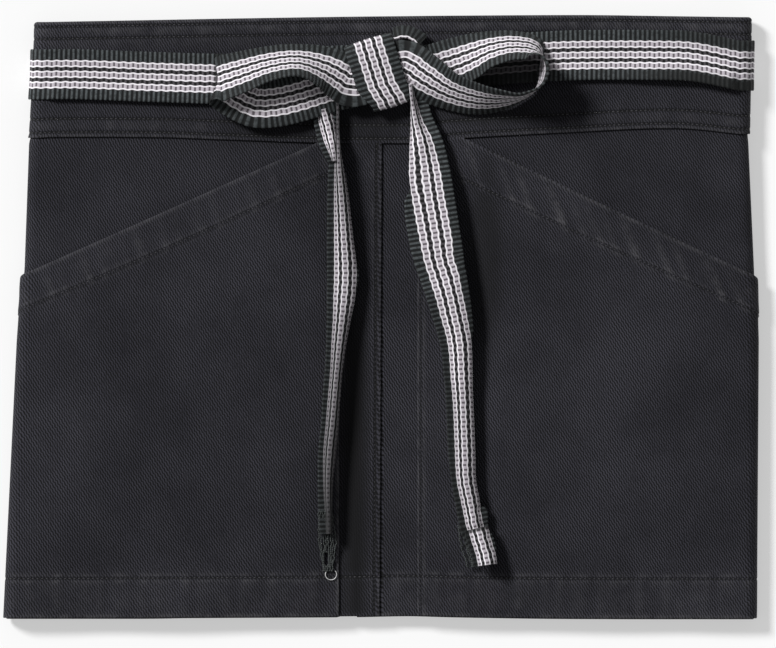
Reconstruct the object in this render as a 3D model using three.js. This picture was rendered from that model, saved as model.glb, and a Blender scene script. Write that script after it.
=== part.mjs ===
// Waist apron of charcoal twill, lying on its folded wings with the front upwards. A webbing belt runs
// round the waistband and is tied in front in a bow. Millimetres, +Z up, +Y towards the waistband.
import * as THREE from "three";

// Body of the apron
const apronLength = 301.2; // top edge to hem
const halfWidth = 188; // centre to side fold at the hem
const wingDepth = 150; // cloth folded behind, from the side fold to the wing's edge
const foldRadius = 3.7; // inside radius of the panels at the side folds
const cloth = 1.0; // one layer of twill
const gap = 0.3; // clearance between neighbouring layers
const hemDepth = 18.5; // turned-up bottom edge
const seamTuck = 12; // height of the panels' edge inside the waistband
const lapWidth = 12.5; // overlap of the two halves at the centre seam
const lapSlope = 5; // run of the step down from the lap, in lap heights
const centreSag = 2.0; // dip of the front between the two wings
const sagStart = 0.2; // the dip rises from here to there, in widths of the gap between the wings
const sagEnd = 1.6;

// Waistband
const bandHeight = 60;

// Pockets
const pocketDepth = 5.2; // room inside, at the fullest place
const mouthBand = 15.5; // doubled strip along the mouth
const mouthFacing = 0.6; // extra thickness of that strip
const pocketReturn = 30; // pocket cloth carried past the side fold
const leftPocketEdge = 21; // inner edge to the centre
const rightPocketEdge = 18.2;
const leftMouthStart = 30.5; // where each mouth leaves the waistband, to the centre
const rightMouthStart = 40.5;
const leftMouthDrop = 64.2; // fall of each mouth from the waistband to the side fold
const rightMouthDrop = 67.2;
const pocketRise = 0.28; // share of a pocket's height over which it fills out above the hem

// Webbing
const webbingWidth = 25;
const webbing = 1.2; // thickness
const leftLoopReach = 80.2; // middle of the knot to the tip of the loop
const rightLoopReach = 84.5;
const loopHeight = 24; // highest rim of a loop over the belt
const knotLength = 36.4; // along its own band
const knotHeight = 10.0;
const knotSlant = 17.5; // degrees the band leans from upright
const endRise = 1.85; // loop ends above and below the knot's middle
const endPlay = 1.0; // from the knot's middle to the loop ends inside it
const exitPlay = 1.5; // past the knot's rim before a loop turns
const knotX = -1.5; // middle of the knot
const knotDrop = 29.3; // below the apron's top edge
const tuckWidth = 7.5; // folded-over width of the short piece behind the knot
const tuckReach = 22; // its extent from the knot's middle towards the right
const rightTailLength = 245;
const leftTailLength = 233;
const endHem = 19; // turned and sewn end of the right tail

// Edges of the front, left to right. across is a share of halfWidth from the centre. drop and rise are
// shares of apronLength below the top and above the bottom. band and belt are shares of bandHeight
// below the top edge: the waistband's lower edge and the belt's middle.
const edgeTable = [
  { across: -1.0, drop: 0.0123, rise: 0.0007, band: 0.99, belt: 0.437 },
  { across: -0.91, drop: 0.0113, rise: 0.0007, band: 0.955, belt: 0.437 },
  { across: -0.61, drop: 0.008, rise: 0.0013, band: 0.972, belt: 0.478 },
  { across: -0.436, drop: 0.006, rise: 0.002, band: 1.0, belt: 0.5 },
  { across: -0.08, drop: 0.0027, rise: 0.0033, band: 1.048, belt: 0.446 },
  { across: 0.08, drop: 0.0017, rise: 0.005, band: 1.053, belt: 0.42 },
  { across: 0.2, drop: 0.001, rise: 0.003, band: 1.02, belt: 0.398 },
  { across: 0.53, drop: 0, rise: 0.0003, band: 0.968, belt: 0.335 },
  { across: 0.8, drop: 0.002, rise: 0, band: 0.927, belt: 0.325 },
  { across: 1.0, drop: 0.0037, rise: 0, band: 0.975, belt: 0.42 },
];

// Side folds, top to bottom. down is a share of apronLength, left and right shares of halfWidth.
const sideTable = [
  { down: 0, left: 0.916, right: 0.98 },
  { down: 0.212, left: 0.936, right: 0.977 },
  { down: 0.42, left: 0.948, right: 0.992 },
  { down: 0.54, left: 0.962, right: 0.998 },
  { down: 1, left: 0.998, right: 0.993 },
];

// Fullness of the pockets across their width, from the inner edge to the side fold.
const leftFullness = [
  { out: 0, full: 0 },
  { out: 0.014, full: 0.55 },
  { out: 0.04, full: 0.72 },
  { out: 0.12, full: 0.88 },
  { out: 0.25, full: 1 },
  { out: 0.42, full: 1 },
  { out: 0.58, full: 1 },
  { out: 0.74, full: 0.92 },
  { out: 0.88, full: 0.5 },
  { out: 1, full: 0 },
];
const rightFullness = [
  { out: 0, full: 0 },
  { out: 0.06, full: 0.1 },
  { out: 0.14, full: 0.45 },
  { out: 0.25, full: 0.9 },
  { out: 0.4, full: 1 },
  { out: 0.56, full: 1 },
  { out: 0.72, full: 0.94 },
  { out: 0.86, full: 0.55 },
  { out: 1, full: 0 },
];

// Loops of the bow, from the top of the knot out to the tip and back. out is a share of the loop's
// reach, up of webbingWidth, rise of loopHeight over the belt. heading turns the width of the webbing
// from +Y towards +X and lean lifts its far edge, in degrees.
const leftLoopTable = [
  { out: 0.24, up: -0.04, rise: 0.345, heading: 6, lean: -12 },
  { out: 0.33, up: 0.11, rise: 0.4, heading: 20, lean: -34 },
  { out: 0.498, up: 0.256, rise: 0.5, heading: 6, lean: -51 },
  { out: 0.673, up: 0.196, rise: 0.48, heading: -8, lean: -47 },
  { out: 0.847, up: 0.03, rise: 0.43, heading: -12, lean: -35 },
  { out: 0.955, up: -0.08, rise: 0.375, heading: -6, lean: -26 },
  { out: 0.992, up: -0.13, rise: 0.3, heading: 4, lean: -16 },
  { out: 0.965, up: -0.2, rise: 0.2, heading: 18, lean: -6 },
  { out: 0.88, up: -0.4, rise: 0.1, heading: 24, lean: 2 },
  { out: 0.76, up: -0.58, rise: 0.055, heading: 10, lean: 2 },
  { out: 0.629, up: -0.564, rise: 0.07, heading: -8, lean: 2 },
  { out: 0.486, up: -0.456, rise: 0.115, heading: -14, lean: 2 },
  { out: 0.33, up: -0.3, rise: 0.13, heading: -16, lean: 1 },
];
const rightLoopTable = [
  { out: 0.26, up: -0.044, rise: 0.355, heading: 18, lean: 15 },
  { out: 0.423, up: -0.354, rise: 0.385, heading: 25, lean: 42 },
  { out: 0.589, up: -0.51, rise: 0.433, heading: 27, lean: 52 },
  { out: 0.74, up: -0.526, rise: 0.483, heading: 18, lean: 66 },
  { out: 0.87, up: -0.444, rise: 0.525, heading: 30, lean: 80 },
  { out: 0.953, up: -0.254, rise: 0.54, heading: 60, lean: 80 },
  { out: 0.979, up: -0.014, rise: 0.535, heading: 95, lean: 78 },
  { out: 0.976, up: 0.266, rise: 0.527, heading: 140, lean: 74 },
  { out: 0.929, up: 0.496, rise: 0.5, heading: 178, lean: 62 },
  { out: 0.799, up: 0.57, rise: 0.472, heading: 180, lean: 55 },
  { out: 0.669, up: 0.496, rise: 0.42, heading: 176, lean: 45 },
  { out: 0.562, up: 0.356, rise: 0.29, heading: 168, lean: 27 },
  { out: 0.438, up: 0.206, rise: 0.167, heading: 166, lean: 8 },
  { out: 0.265, up: 0.066, rise: 0.1375, heading: 163, lean: 1 },
];

// Short fold behind the knot: out is a share of tuckReach, up of webbingWidth, rise of knotHeight.
const tuckTable = [
  { out: 0.345, up: 0.8, rise: 0.45, heading: -17.5, lean: -40 },
  { out: 0.6, up: 0.84, rise: 0.5, heading: 0, lean: -40 },
  { out: 0.84, up: 0.78, rise: 0.56, heading: 32, lean: -34 },
  { out: 1.02, up: 0.65, rise: 0.6, heading: 50, lean: -28 },
];

// Tails, top to bottom: down is a share of the tail's length below the knot's middle, across and lift
// are shares of webbingWidth (lift is the height over the cloth), pinch narrows the webbing, curl is
// how far its section is rolled and roll turns the section to the right, both in degrees.
const rightTailTable = [
  { down: 0.03, across: 0.78, lift: 0.35, pinch: 0.36, curl: 40, roll: -24 },
  { down: 0.062, across: 0.82, lift: 0.3, pinch: 0.4, curl: 50, roll: -24 },
  { down: 0.1, across: 0.86, lift: 0.12, pinch: 0.6, curl: 70, roll: -14 },
  { down: 0.15, across: 0.95, lift: 0, pinch: 0.8, curl: 70, roll: -6 },
  { down: 0.235, across: 1.0, lift: 0, pinch: 1, curl: 40, roll: 0 },
  { down: 0.325, across: 1.12, lift: 0, pinch: 1, curl: 25, roll: 0 },
  { down: 0.41, across: 1.29, lift: 0, pinch: 1, curl: 50, roll: 2 },
  { down: 0.5, across: 1.46, lift: 0, pinch: 1, curl: 125, roll: 5 },
  { down: 0.575, across: 1.57, lift: 0, pinch: 1, curl: 185, roll: 6 },
  { down: 0.65, across: 1.62, lift: 0, pinch: 1, curl: 195, roll: 6 },
  { down: 0.8, across: 1.68, lift: 0, pinch: 1, curl: 195, roll: 6 },
  { down: 0.87, across: 1.75, lift: 0, pinch: 1, curl: 180, roll: 4 },
  { down: 0.925, across: 1.9, lift: 0, pinch: 1, curl: 120, roll: 2 },
  { down: 0.96, across: 2.08, lift: 0, pinch: 1, curl: 60, roll: 0 },
  { down: 1, across: 2.26, lift: 0, pinch: 1, curl: 40, roll: 0 },
];
const leftTailTable = [
  { down: 0.055, across: -1.12, lift: 0, pinch: 0.5, curl: 10, roll: 0 },
  { down: 0.09, across: -1.12, lift: 0, pinch: 0.5, curl: 10, roll: 0 },
  { down: 0.125, across: -1.04, lift: 0, pinch: 0.5, curl: 30, roll: 0 },
  { down: 0.165, across: -0.86, lift: 0, pinch: 0.62, curl: 120, roll: 30 },
  { down: 0.215, across: -0.78, lift: 0, pinch: 0.75, curl: 190, roll: 45 },
  { down: 0.26, across: -0.74, lift: 0, pinch: 0.9, curl: 205, roll: 40 },
  { down: 0.34, across: -0.67, lift: 0, pinch: 1, curl: 205, roll: 28 },
  { down: 0.43, across: -0.68, lift: 0, pinch: 1, curl: 205, roll: 26 },
  { down: 0.53, across: -0.74, lift: 0, pinch: 1, curl: 215, roll: 36 },
  { down: 0.68, across: -0.9, lift: 0, pinch: 1, curl: 220, roll: 44 },
  { down: 0.83, across: -1.02, lift: 0, pinch: 1, curl: 220, roll: 48 },
  { down: 0.92, across: -1.05, lift: 0, pinch: 0.95, curl: 210, roll: 44 },
  { down: 1, across: -1.06, lift: 0, pinch: 0.85, curl: 190, roll: 30 },
];

// Layers, outwards from the inside of the panels
const bandInner = cloth + gap;
const bandOuter = bandInner + cloth;
const bandBackOuter = -gap;
const bandBackInner = -gap - cloth;
const beltInner = bandOuter + gap;
const beltOuter = beltInner + webbing;
const pocketInner = cloth + gap;
const lapRise = cloth + gap;

const degrees = Math.PI / 180;
const left = -1;
const right = 1;

function clamp01(value) {
  return Math.min(1, Math.max(0, value));
}

function mix(from, to, share) {
  return from + (to - from) * share;
}

function ease(from, to, value) {
  const t = clamp01((value - from) / (to - from));
  return t * t * (3 - 2 * t);
}

// Smooth reading of a table between its rows, with the slopes limited so that it never overshoots.
function read(table, key, place, column) {
  const last = table.length - 1;
  if (place <= table[0][key]) return table[0][column];
  if (place >= table[last][key]) return table[last][column];
  let i = 0;
  while (place > table[i + 1][key]) i += 1;
  const slope = (k) => {
    const rise = table[k + 1][column] - table[k][column];
    return rise / (table[k + 1][key] - table[k][key]);
  };
  const tangent = (k) => {
    if (k === 0) return slope(0);
    if (k === last) return slope(last - 1);
    const before = slope(k - 1);
    const after = slope(k);
    if (before * after <= 0) return 0;
    return (2 * before * after) / (before + after);
  };
  const span = table[i + 1][key] - table[i][key];
  const t = (place - table[i][key]) / span;
  const h00 = (1 + 2 * t) * (1 - t) * (1 - t);
  const h10 = t * (1 - t) * (1 - t);
  const h01 = t * t * (3 - 2 * t);
  const h11 = t * t * (t - 1);
  const start = h00 * table[i][column] + h10 * span * tangent(i);
  return start + h01 * table[i + 1][column] + h11 * span * tangent(i + 1);
}

// Straight reading of a table between its rows
function readStraight(table, key, place, column) {
  let i = 0;
  while (i < table.length - 2 && place > table[i + 1][key]) i += 1;
  const share = (place - table[i][key]) / (table[i + 1][key] - table[i][key]);
  return mix(table[i][column], table[i + 1][column], share);
}

// Edges of the front at a place across it
function topEdge(x) {
  return apronLength * (0.5 - read(edgeTable, "across", x / halfWidth, "drop"));
}

function bottomEdge(x) {
  return apronLength * (read(edgeTable, "across", x / halfWidth, "rise") - 0.5);
}

function bandEdge(x) {
  return topEdge(x) - bandHeight * read(edgeTable, "across", x / halfWidth, "band");
}

function beltMiddle(x) {
  return topEdge(x) - bandHeight * read(edgeTable, "across", x / halfWidth, "belt");
}

// Axis of a side fold at a height along the apron
function foldAxis(side, y) {
  const down = 0.5 - y / apronLength;
  const edge = halfWidth * readStraight(sideTable, "down", down, side < 0 ? "left" : "right");
  return side * (edge - foldRadius - cloth);
}

// Height of the middle between the front and the wings: the belt lifts the waistband's part.
function middleHeight(y) {
  const hemHeight = foldRadius + pocketInner + cloth + mouthFacing;
  const bandTop = apronLength / 2 - bandHeight;
  return mix(hemHeight, foldRadius + beltOuter, ease(bandTop - bandHeight, bandTop, y));
}

function sag(x) {
  const wingGap = halfWidth - wingDepth;
  return centreSag * (1 - ease(wingGap * sagStart, wingGap * sagEnd, Math.abs(x)));
}

// A point of the folded cloth: n is the distance outwards from the inside of the panels.
function frontPoint(x, y, n) {
  return new THREE.Vector3(x, y, middleHeight(y) + foldRadius + n - sag(x));
}

function foldPoint(side, angle, y, n) {
  const radius = foldRadius + n;
  const x = foldAxis(side, y) + side * radius * Math.sin(angle * degrees);
  return new THREE.Vector3(x, y, middleHeight(y) + radius * Math.cos(angle * degrees));
}

function wingPoint(side, depth, y, n) {
  const x = foldAxis(side, y) - side * depth;
  return new THREE.Vector3(x, y, middleHeight(y) - foldRadius - n);
}

// Stations across a folded piece: each gives its place on the front for the edges, and its points.
function frontStation(side, place) {
  const at = (y) => (typeof place === "function" ? place(y) : place);
  return { x: at(0), point: (y, n) => frontPoint(at(y), y, n) };
}

function foldStation(side, angle) {
  return { x: foldAxis(side, 0), angle, point: (y, n) => foldPoint(side, angle, y, n) };
}

function wingStation(side, depth) {
  return { x: foldAxis(side, 0), depth, point: (y, n) => wingPoint(side, depth, y, n) };
}

function foldStations(side, count) {
  const angles = [];
  for (let i = 1; i <= count; i += 1) angles.push((180 * i) / count);
  return angles.map((angle) => foldStation(side, angle));
}

function wingStations(side, depth, count) {
  const stations = [];
  for (let i = 1; i <= count; i += 1) stations.push(wingStation(side, (depth * i) / count));
  return stations;
}

// Closed wall through sections: each has an outer and an inner row of as many points.
function wallGeometry(sections, closed = false) {
  const rowCount = sections[0].outer.length;
  const ring = 2 * rowCount;
  const positions = [];
  const faces = [];
  for (const section of sections) {
    for (const p of section.outer) positions.push(p.x, p.y, p.z);
    for (const p of [...section.inner].reverse()) positions.push(p.x, p.y, p.z);
  }
  const quad = (a, b, c, d) => faces.push(a, b, c, a, c, d);
  const spans = closed ? sections.length : sections.length - 1;
  for (let i = 0; i < spans; i += 1) {
    const here = i * ring;
    const next = ((i + 1) % sections.length) * ring;
    for (let j = 0; j < ring; j += 1) {
      const k = (j + 1) % ring;
      quad(here + j, next + j, next + k, here + k);
    }
  }
  if (!closed) {
    const end = (sections.length - 1) * ring;
    for (let j = 0; j < rowCount - 1; j += 1) {
      quad(j, j + 1, ring - 2 - j, ring - 1 - j);
      quad(end + j, end + ring - 1 - j, end + ring - 2 - j, end + j + 1);
    }
  }
  return outwardGeometry(positions, faces);
}

// Turns the faces round where they enclose a negative volume.
function outwardGeometry(positions, faces) {
  const corner = (i) => new THREE.Vector3().fromArray(positions, 3 * i);
  let volume = 0;
  for (let i = 0; i < faces.length; i += 3) {
    const cross = corner(faces[i + 1]).cross(corner(faces[i + 2]));
    volume += corner(faces[i]).dot(cross);
  }
  if (volume < 0) {
    for (let i = 0; i < faces.length; i += 3) {
      [faces[i + 1], faces[i + 2]] = [faces[i + 2], faces[i + 1]];
    }
  }
  const geometry = new THREE.BufferGeometry();
  geometry.setAttribute("position", new THREE.Float32BufferAttribute(positions, 3));
  geometry.setIndex(faces);
  geometry.computeVertexNormals();
  return geometry;
}

// Half of the body: front, side fold and wing, with the hem turned up inside.
function panelGeometry(side) {
  const seamEdge = side === left ? gap : gap - lapWidth;
  const lapEdge = -lapWidth - gap;
  const stations = [];
  if (side === left) {
    stations.push({ ...frontStation(side, seamEdge), lap: 1, short: true });
    stations.push({ ...frontStation(side, lapEdge), lap: 1, short: true });
    stations.push({ ...frontStation(side, lapEdge - lapSlope * lapRise), lap: 0, short: true });
  }
  const inner = side === left ? lapEdge - (lapSlope + 1) * lapRise : seamEdge;
  const columns = 7;
  for (let i = 0; i <= columns; i += 1) {
    stations.push(frontStation(side, (y) => mix(inner, foldAxis(side, y), i / columns)));
  }
  stations.push(...foldStations(side, 6), ...wingStations(side, wingDepth, 3));
  const sections = stations.map((station) => {
    const bottom = bottomEdge(station.x);
    const top = bandEdge(station.x) + (station.short ? -gap : seamTuck);
    const hemLine = bottom + hemDepth;
    const heights = [bottom, hemLine - cloth / 2, hemLine + cloth / 2];
    const rows = 8;
    for (let i = 1; i <= rows; i += 1) heights.push(mix(hemLine + cloth / 2, top, i / rows));
    const rise = (station.lap ?? 0) * lapRise;
    const turned = station.short ? 0 : cloth;
    const outer = heights.map((y) => station.point(y, rise + cloth));
    const innerRow = heights.map((y, i) => station.point(y, rise - (i < 2 ? turned : 0)));
    return { outer, inner: innerRow };
  });
  return wallGeometry(sections);
}

// Fall of a pocket's mouth for each millimetre outwards
function mouthSlope(side) {
  const start = side === left ? leftMouthStart : rightMouthStart;
  const drop = side === left ? leftMouthDrop : rightMouthDrop;
  return drop / (Math.abs(foldAxis(side, 0)) - start);
}

// Upper edge of a pocket: under the waistband near the centre, then down along the slanting mouth.
function mouthEdge(side, x, beyondFold) {
  const start = side === left ? leftMouthStart : rightMouthStart;
  const out = Math.abs(x) - start + beyondFold;
  const line = bandEdge(side * start) - gap - mouthSlope(side) * out;
  return Math.min(bandEdge(x) - gap, line);
}

// Height of the doubled strip, measured straight down from the mouth
function mouthBandDrop(side) {
  return mouthBand * Math.hypot(1, mouthSlope(side));
}

// Room between a pocket and the panel behind it
function pocketRoom(side, x, y) {
  const edge = side === left ? leftPocketEdge : rightPocketEdge;
  const table = side === left ? leftFullness : rightFullness;
  const out = (Math.abs(x) - edge) / (Math.abs(foldAxis(side, y)) - edge);
  const hemLine = bottomEdge(x) + hemDepth;
  const height = ease(0, pocketRise, (y - hemLine) / (mouthEdge(side, x, 0) - hemLine));
  return pocketDepth * read(table, "out", out, "full") * height;
}

// Patch pocket, open along its mouth and close to the panel along its other edges.
function pocketGeometry(side) {
  const edge = side === left ? leftPocketEdge : rightPocketEdge;
  const table = side === left ? leftFullness : rightFullness;
  const stations = table.map(({ out }) => ({
    ...frontStation(side, (y) => mix(side * edge, foldAxis(side, y), out)),
    room: (x, y) => pocketRoom(side, x, y),
  }));
  stations.push(...foldStations(side, 6), ...wingStations(side, pocketReturn, 2));
  const sections = stations.map((station) => {
    const turn = ((station.angle ?? (station.depth ? 180 : 0)) * degrees) * (foldRadius + pocketInner);
    const top = mouthEdge(side, station.x, turn + (station.depth ?? 0));
    const bottom = bottomEdge(station.x);
    const bandLine = top - mouthBandDrop(side);
    const heights = [bottom, bottom + hemDepth];
    const rows = 7;
    for (let i = 1; i <= rows; i += 1) heights.push(mix(bottom + hemDepth, bandLine, i / rows));
    heights.push(bandLine + mouthFacing, top);
    const inner = heights.map((y) => {
      const room = station.room ? station.room(station.point(y, 0).x, y) : 0;
      return pocketInner + room;
    });
    const facing = (i) => (i > rows + 1 ? mouthFacing : 0);
    return {
      outer: heights.map((y, i) => station.point(y, inner[i] + cloth + facing(i))),
      inner: heights.map((y, i) => station.point(y, inner[i])),
    };
  });
  return wallGeometry(sections);
}

// Stations right round the apron, from one wing's edge over the front to the other's.
function roundStations(wingColumns, foldSteps, frontColumns) {
  const back = wingStations(left, wingDepth, wingColumns).reverse();
  const turn = foldStations(left, foldSteps).reverse();
  const front = [];
  for (let i = 0; i <= frontColumns; i += 1) {
    const share = i / frontColumns;
    front.push(frontStation(0, (y) => mix(foldAxis(left, y), foldAxis(right, y), share)));
  }
  const rest = [...foldStations(right, foldSteps), ...wingStations(right, wingDepth, wingColumns)];
  return [...back, ...turn, ...front, ...rest];
}

// Folded band: an outer leg, a round fold along the top edge and an inner leg behind the panels.
function waistbandGeometry() {
  const middle = (bandOuter + bandBackInner) / 2;
  const round = (bandOuter - bandBackInner) / 2;
  const sections = roundStations(3, 6, 16).map((station) => {
    const top = topEdge(station.x);
    const bottom = bandEdge(station.x);
    const outer = [station.point(bottom, bandOuter), station.point(top - round, bandOuter)];
    const inner = [station.point(bottom, bandInner), station.point(top - round, bandInner)];
    for (const angle of [45, 90, 135]) {
      const up = Math.sin(angle * degrees);
      const out = Math.cos(angle * degrees);
      const small = round - cloth;
      outer.push(station.point(top - round + round * up, middle + round * out));
      inner.push(station.point(top - round + small * up, middle + small * out));
    }
    outer.push(station.point(top - round, bandBackInner), station.point(bottom, bandBackInner));
    inner.push(station.point(top - round, bandBackOuter), station.point(bottom, bandBackOuter));
    return { outer, inner };
  });
  return wallGeometry(sections);
}

// Belt: one closed loop of webbing round the waistband.
function beltGeometry() {
  const stations = roundStations(1, 8, 20);
  const sections = stations.map((station) => {
    const middle = beltMiddle(station.x);
    const heights = [middle - webbingWidth / 2, middle + webbingWidth / 2];
    return {
      outer: heights.map((y) => station.point(y, beltOuter)),
      inner: heights.map((y) => station.point(y, beltInner)),
    };
  });
  return wallGeometry(sections, true);
}

// Section of a strip of webbing: a flat or rolled wall about its middle.
function stripSection(middle, across, normal, width, curl, columns, thickness) {
  const outer = [];
  const inner = [];
  for (let k = 0; k <= columns; k += 1) {
    const share = k / columns - 0.5;
    const angle = curl * degrees * share;
    const radius = curl ? width / (curl * degrees) : 0;
    const side = curl ? radius * Math.sin(angle) : width * share;
    const dip = curl ? radius * (Math.cos(angle) - 1) : 0;
    const face = normal.clone().multiplyScalar(Math.cos(angle));
    face.addScaledVector(across, Math.sin(angle));
    const point = middle.clone().addScaledVector(across, side).addScaledVector(normal, dip);
    outer.push(point.clone().addScaledVector(face, thickness / 2));
    inner.push(point.clone().addScaledVector(face, -thickness / 2));
  }
  return { outer, inner };
}

// Strip along rows of places, each with the direction of its width.
function stripGeometry(rows, stepsPerRow, width, columns) {
  const curve = new THREE.CatmullRomCurve3(rows.map((row) => row.place), false, "centripetal");
  const steps = (rows.length - 1) * stepsPerRow;
  const indexed = rows.map((row, i) => ({ ...row, i }));
  const sections = [];
  for (let s = 0; s <= steps; s += 1) {
    const i = s / stepsPerRow;
    const middle = curve.getPoint(s / steps);
    const along = curve.getTangent(s / steps);
    const heading = read(indexed, "i", i, "heading") * degrees;
    const lean = read(indexed, "i", i, "lean") * degrees;
    const level = Math.cos(lean);
    const wide = new THREE.Vector3(level * Math.sin(heading), level * Math.cos(heading), Math.sin(lean));
    const normal = along.clone().cross(wide).normalize();
    const across = normal.clone().cross(along).normalize();
    sections.push(stripSection(middle, across, normal, width, 0, columns, webbing));
  }
  return wallGeometry(sections);
}

// Frame of the knot
const knotY = apronLength / 2 - knotDrop;
const beltTop = frontPoint(knotX, knotY, beltOuter).z;
const knotAcross = new THREE.Vector3(Math.cos(knotSlant * degrees), Math.sin(knotSlant * degrees), 0);
const knotAlong = new THREE.Vector3(-Math.sin(knotSlant * degrees), Math.cos(knotSlant * degrees), 0);

function knotPoint(acrossShift, height) {
  const place = new THREE.Vector3(knotX, knotY, beltTop + height);
  return place.addScaledVector(knotAcross, acrossShift);
}

// Knot: the webbing wrapped once, closed, round the ends of the loops.
function knotGeometry() {
  const count = 28;
  const power = 3.2;
  const sections = [];
  const ovalPoint = (angle, inset) => {
    const halfLength = knotLength / 2 - inset;
    const halfHeight = knotHeight / 2 - inset;
    const c = Math.cos(angle);
    const s = Math.sin(angle);
    const run = halfLength * Math.sign(c) * Math.abs(c) ** (2 / power);
    const up = halfHeight * Math.sign(s) * Math.abs(s) ** (2 / power);
    return { run, up };
  };
  for (let i = 0; i < count; i += 1) {
    const angle = (2 * Math.PI * (i + 0.5)) / count;
    const row = (inset) =>
      [-0.5, 0.5].map((share) => {
        const { run, up } = ovalPoint(angle, inset);
        const place = knotPoint(share * webbingWidth, gap + knotHeight / 2 + up);
        return place.addScaledVector(knotAlong, run);
      });
    sections.push({ outer: row(0), inner: row(webbing) });
  }
  return wallGeometry(sections, true);
}

// Rows of a loop, with its two ends in the upper and the lower half of the knot
function loopGeometry(side, table, reach) {
  const turned = side === right ? 180 : 0;
  const middle = gap + knotHeight / 2;
  const exit = webbingWidth / 2 + exitPlay;
  const rows = table.map((row) => {
    const x = knotX + side * reach * row.out;
    const y = knotY + webbingWidth * row.up;
    const z = frontPoint(x, y, beltOuter).z + loopHeight * row.rise;
    return { place: new THREE.Vector3(x, y, z), heading: row.heading, lean: row.lean };
  });
  const end = (shift, height, heading) => ({
    place: knotPoint(side * shift, height),
    heading: heading - knotSlant,
    lean: 0,
  });
  const upper = [end(endPlay, middle + endRise, 0), end(exit, middle + endRise, 0)];
  const lower = [end(exit, middle - endRise, turned), end(endPlay, middle - endRise, turned)];
  return stripGeometry([...upper, ...rows, ...lower], 3, webbingWidth, 1);
}

function tuckGeometry() {
  const rows = tuckTable.map((row) => {
    const x = knotX + tuckReach * row.out;
    const y = knotY + webbingWidth * row.up;
    const place = new THREE.Vector3(x, y, beltTop + knotHeight * row.rise);
    return { place, heading: row.heading, lean: row.lean };
  });
  return stripGeometry(rows, 4, tuckWidth, 1);
}

// Highest cloth surface under a place of the front
function clothTop(x, y) {
  const side = x < 0 ? left : right;
  const edge = side === left ? leftPocketEdge : rightPocketEdge;
  let n = cloth;
  if (x < gap && x > -lapWidth - (lapSlope + 1) * lapRise) n = lapRise + cloth;
  if (Math.abs(x) >= edge && y <= mouthEdge(side, x, 0)) {
    n = pocketInner + pocketRoom(side, x, y) + cloth;
    if (y > mouthEdge(side, x, 0) - mouthBandDrop(side) - mouthFacing) n += mouthFacing;
  }
  if (y >= bandEdge(x)) n = bandOuter;
  if (Math.abs(y - beltMiddle(x)) <= webbingWidth / 2) n = beltOuter;
  return frontPoint(x, y, n).z;
}

// Highest cloth in a patch round a place, so that a strip laid there clears all of it
function clothTopNear(x, y, reachX, reachY) {
  let height = -Infinity;
  for (const dx of [-1, -0.5, 0, 0.5, 1]) {
    for (const dy of [-1, 0, 1]) {
      height = Math.max(height, clothTop(x + dx * reachX, y + dy * reachY));
    }
  }
  return height;
}

// Tail: webbing lying on the cloth, its section rolled as the table says.
function tailGeometry(table, length, stepsPerRow, columns, hemLength) {
  const flat = table.map((row) => new THREE.Vector3(
    knotX + webbingWidth * row.across,
    knotY - length * row.down,
    0,
  ));
  const curve = new THREE.CatmullRomCurve3(flat, false, "centripetal");
  const indexed = table.map((row, i) => ({ ...row, i }));
  const steps = (table.length - 1) * stepsPerRow;
  const up = new THREE.Vector3(0, 0, 1);
  const strips = [];
  for (let s = 0; s <= steps; s += 1) {
    const value = (column) => read(indexed, "i", s / stepsPerRow, column);
    const middle = curve.getPoint(s / steps);
    const along = curve.getTangent(s / steps);
    const across = up.clone().cross(along).normalize().negate();
    if (across.x < 0) across.negate();
    const roll = -value("roll") * degrees;
    const rolledAcross = across.clone().multiplyScalar(Math.cos(roll)).addScaledVector(up, Math.sin(roll));
    const normal = up.clone().multiplyScalar(Math.cos(roll)).addScaledVector(across, -Math.sin(roll));
    const width = webbingWidth * value("pinch");
    const toEnd = middle.y - (knotY - length);
    const thickness = toEnd < hemLength ? 2 * webbing : webbing;
    const section = stripSection(middle, rolledAcross, normal, width, value("curl"), columns, thickness);
    const points = [...section.outer, ...section.inner];
    const low = Math.min(...points.map((p) => p.z));
    const reach = Math.max(...points.map((p) => Math.abs(p.x - middle.x)));
    strips.push({
      section,
      low,
      base: clothTopNear(middle.x, middle.y, reach, webbingWidth / 6),
      lift: gap + webbingWidth * value("lift"),
    });
  }
  strips.forEach((strip, s) => {
    const near = strips.slice(Math.max(0, s - 1), s + 2);
    const base = Math.max(...near.map((other) => other.base));
    const shift = base + strip.lift - strip.low;
    for (const p of [...strip.section.outer, ...strip.section.inner]) p.z += shift;
  });
  return wallGeometry(strips.map((strip) => strip.section));
}

const twill = () => new THREE.MeshStandardMaterial({ color: 0x2b2b30, roughness: 0.9, metalness: 0 });
const bandTwill = () => new THREE.MeshStandardMaterial({ color: 0x2e2e33, roughness: 0.9, metalness: 0 });
const ribbed = () => new THREE.MeshStandardMaterial({ color: 0x8d8b92, roughness: 0.75, metalness: 0 });

const apron = new THREE.Group();

function addPiece(name, geometry, material) {
  const mesh = new THREE.Mesh(geometry, material);
  mesh.name = name;
  apron.add(mesh);
}

addPiece("left_panel", panelGeometry(left), twill());
addPiece("right_panel", panelGeometry(right), twill());
addPiece("left_pocket", pocketGeometry(left), twill());
addPiece("right_pocket", pocketGeometry(right), twill());
addPiece("waistband", waistbandGeometry(), bandTwill());
addPiece("belt", beltGeometry(), ribbed());
addPiece("left_loop", loopGeometry(left, leftLoopTable, leftLoopReach), ribbed());
addPiece("right_loop", loopGeometry(right, rightLoopTable, rightLoopReach), ribbed());
addPiece("knot", knotGeometry(), ribbed());
addPiece("knot_tuck", tuckGeometry(), ribbed());
addPiece("left_tail", tailGeometry(leftTailTable, leftTailLength, 3, 6, 0), ribbed());
addPiece("right_tail", tailGeometry(rightTailTable, rightTailLength, 3, 6, endHem), ribbed());

export default apron;
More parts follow.
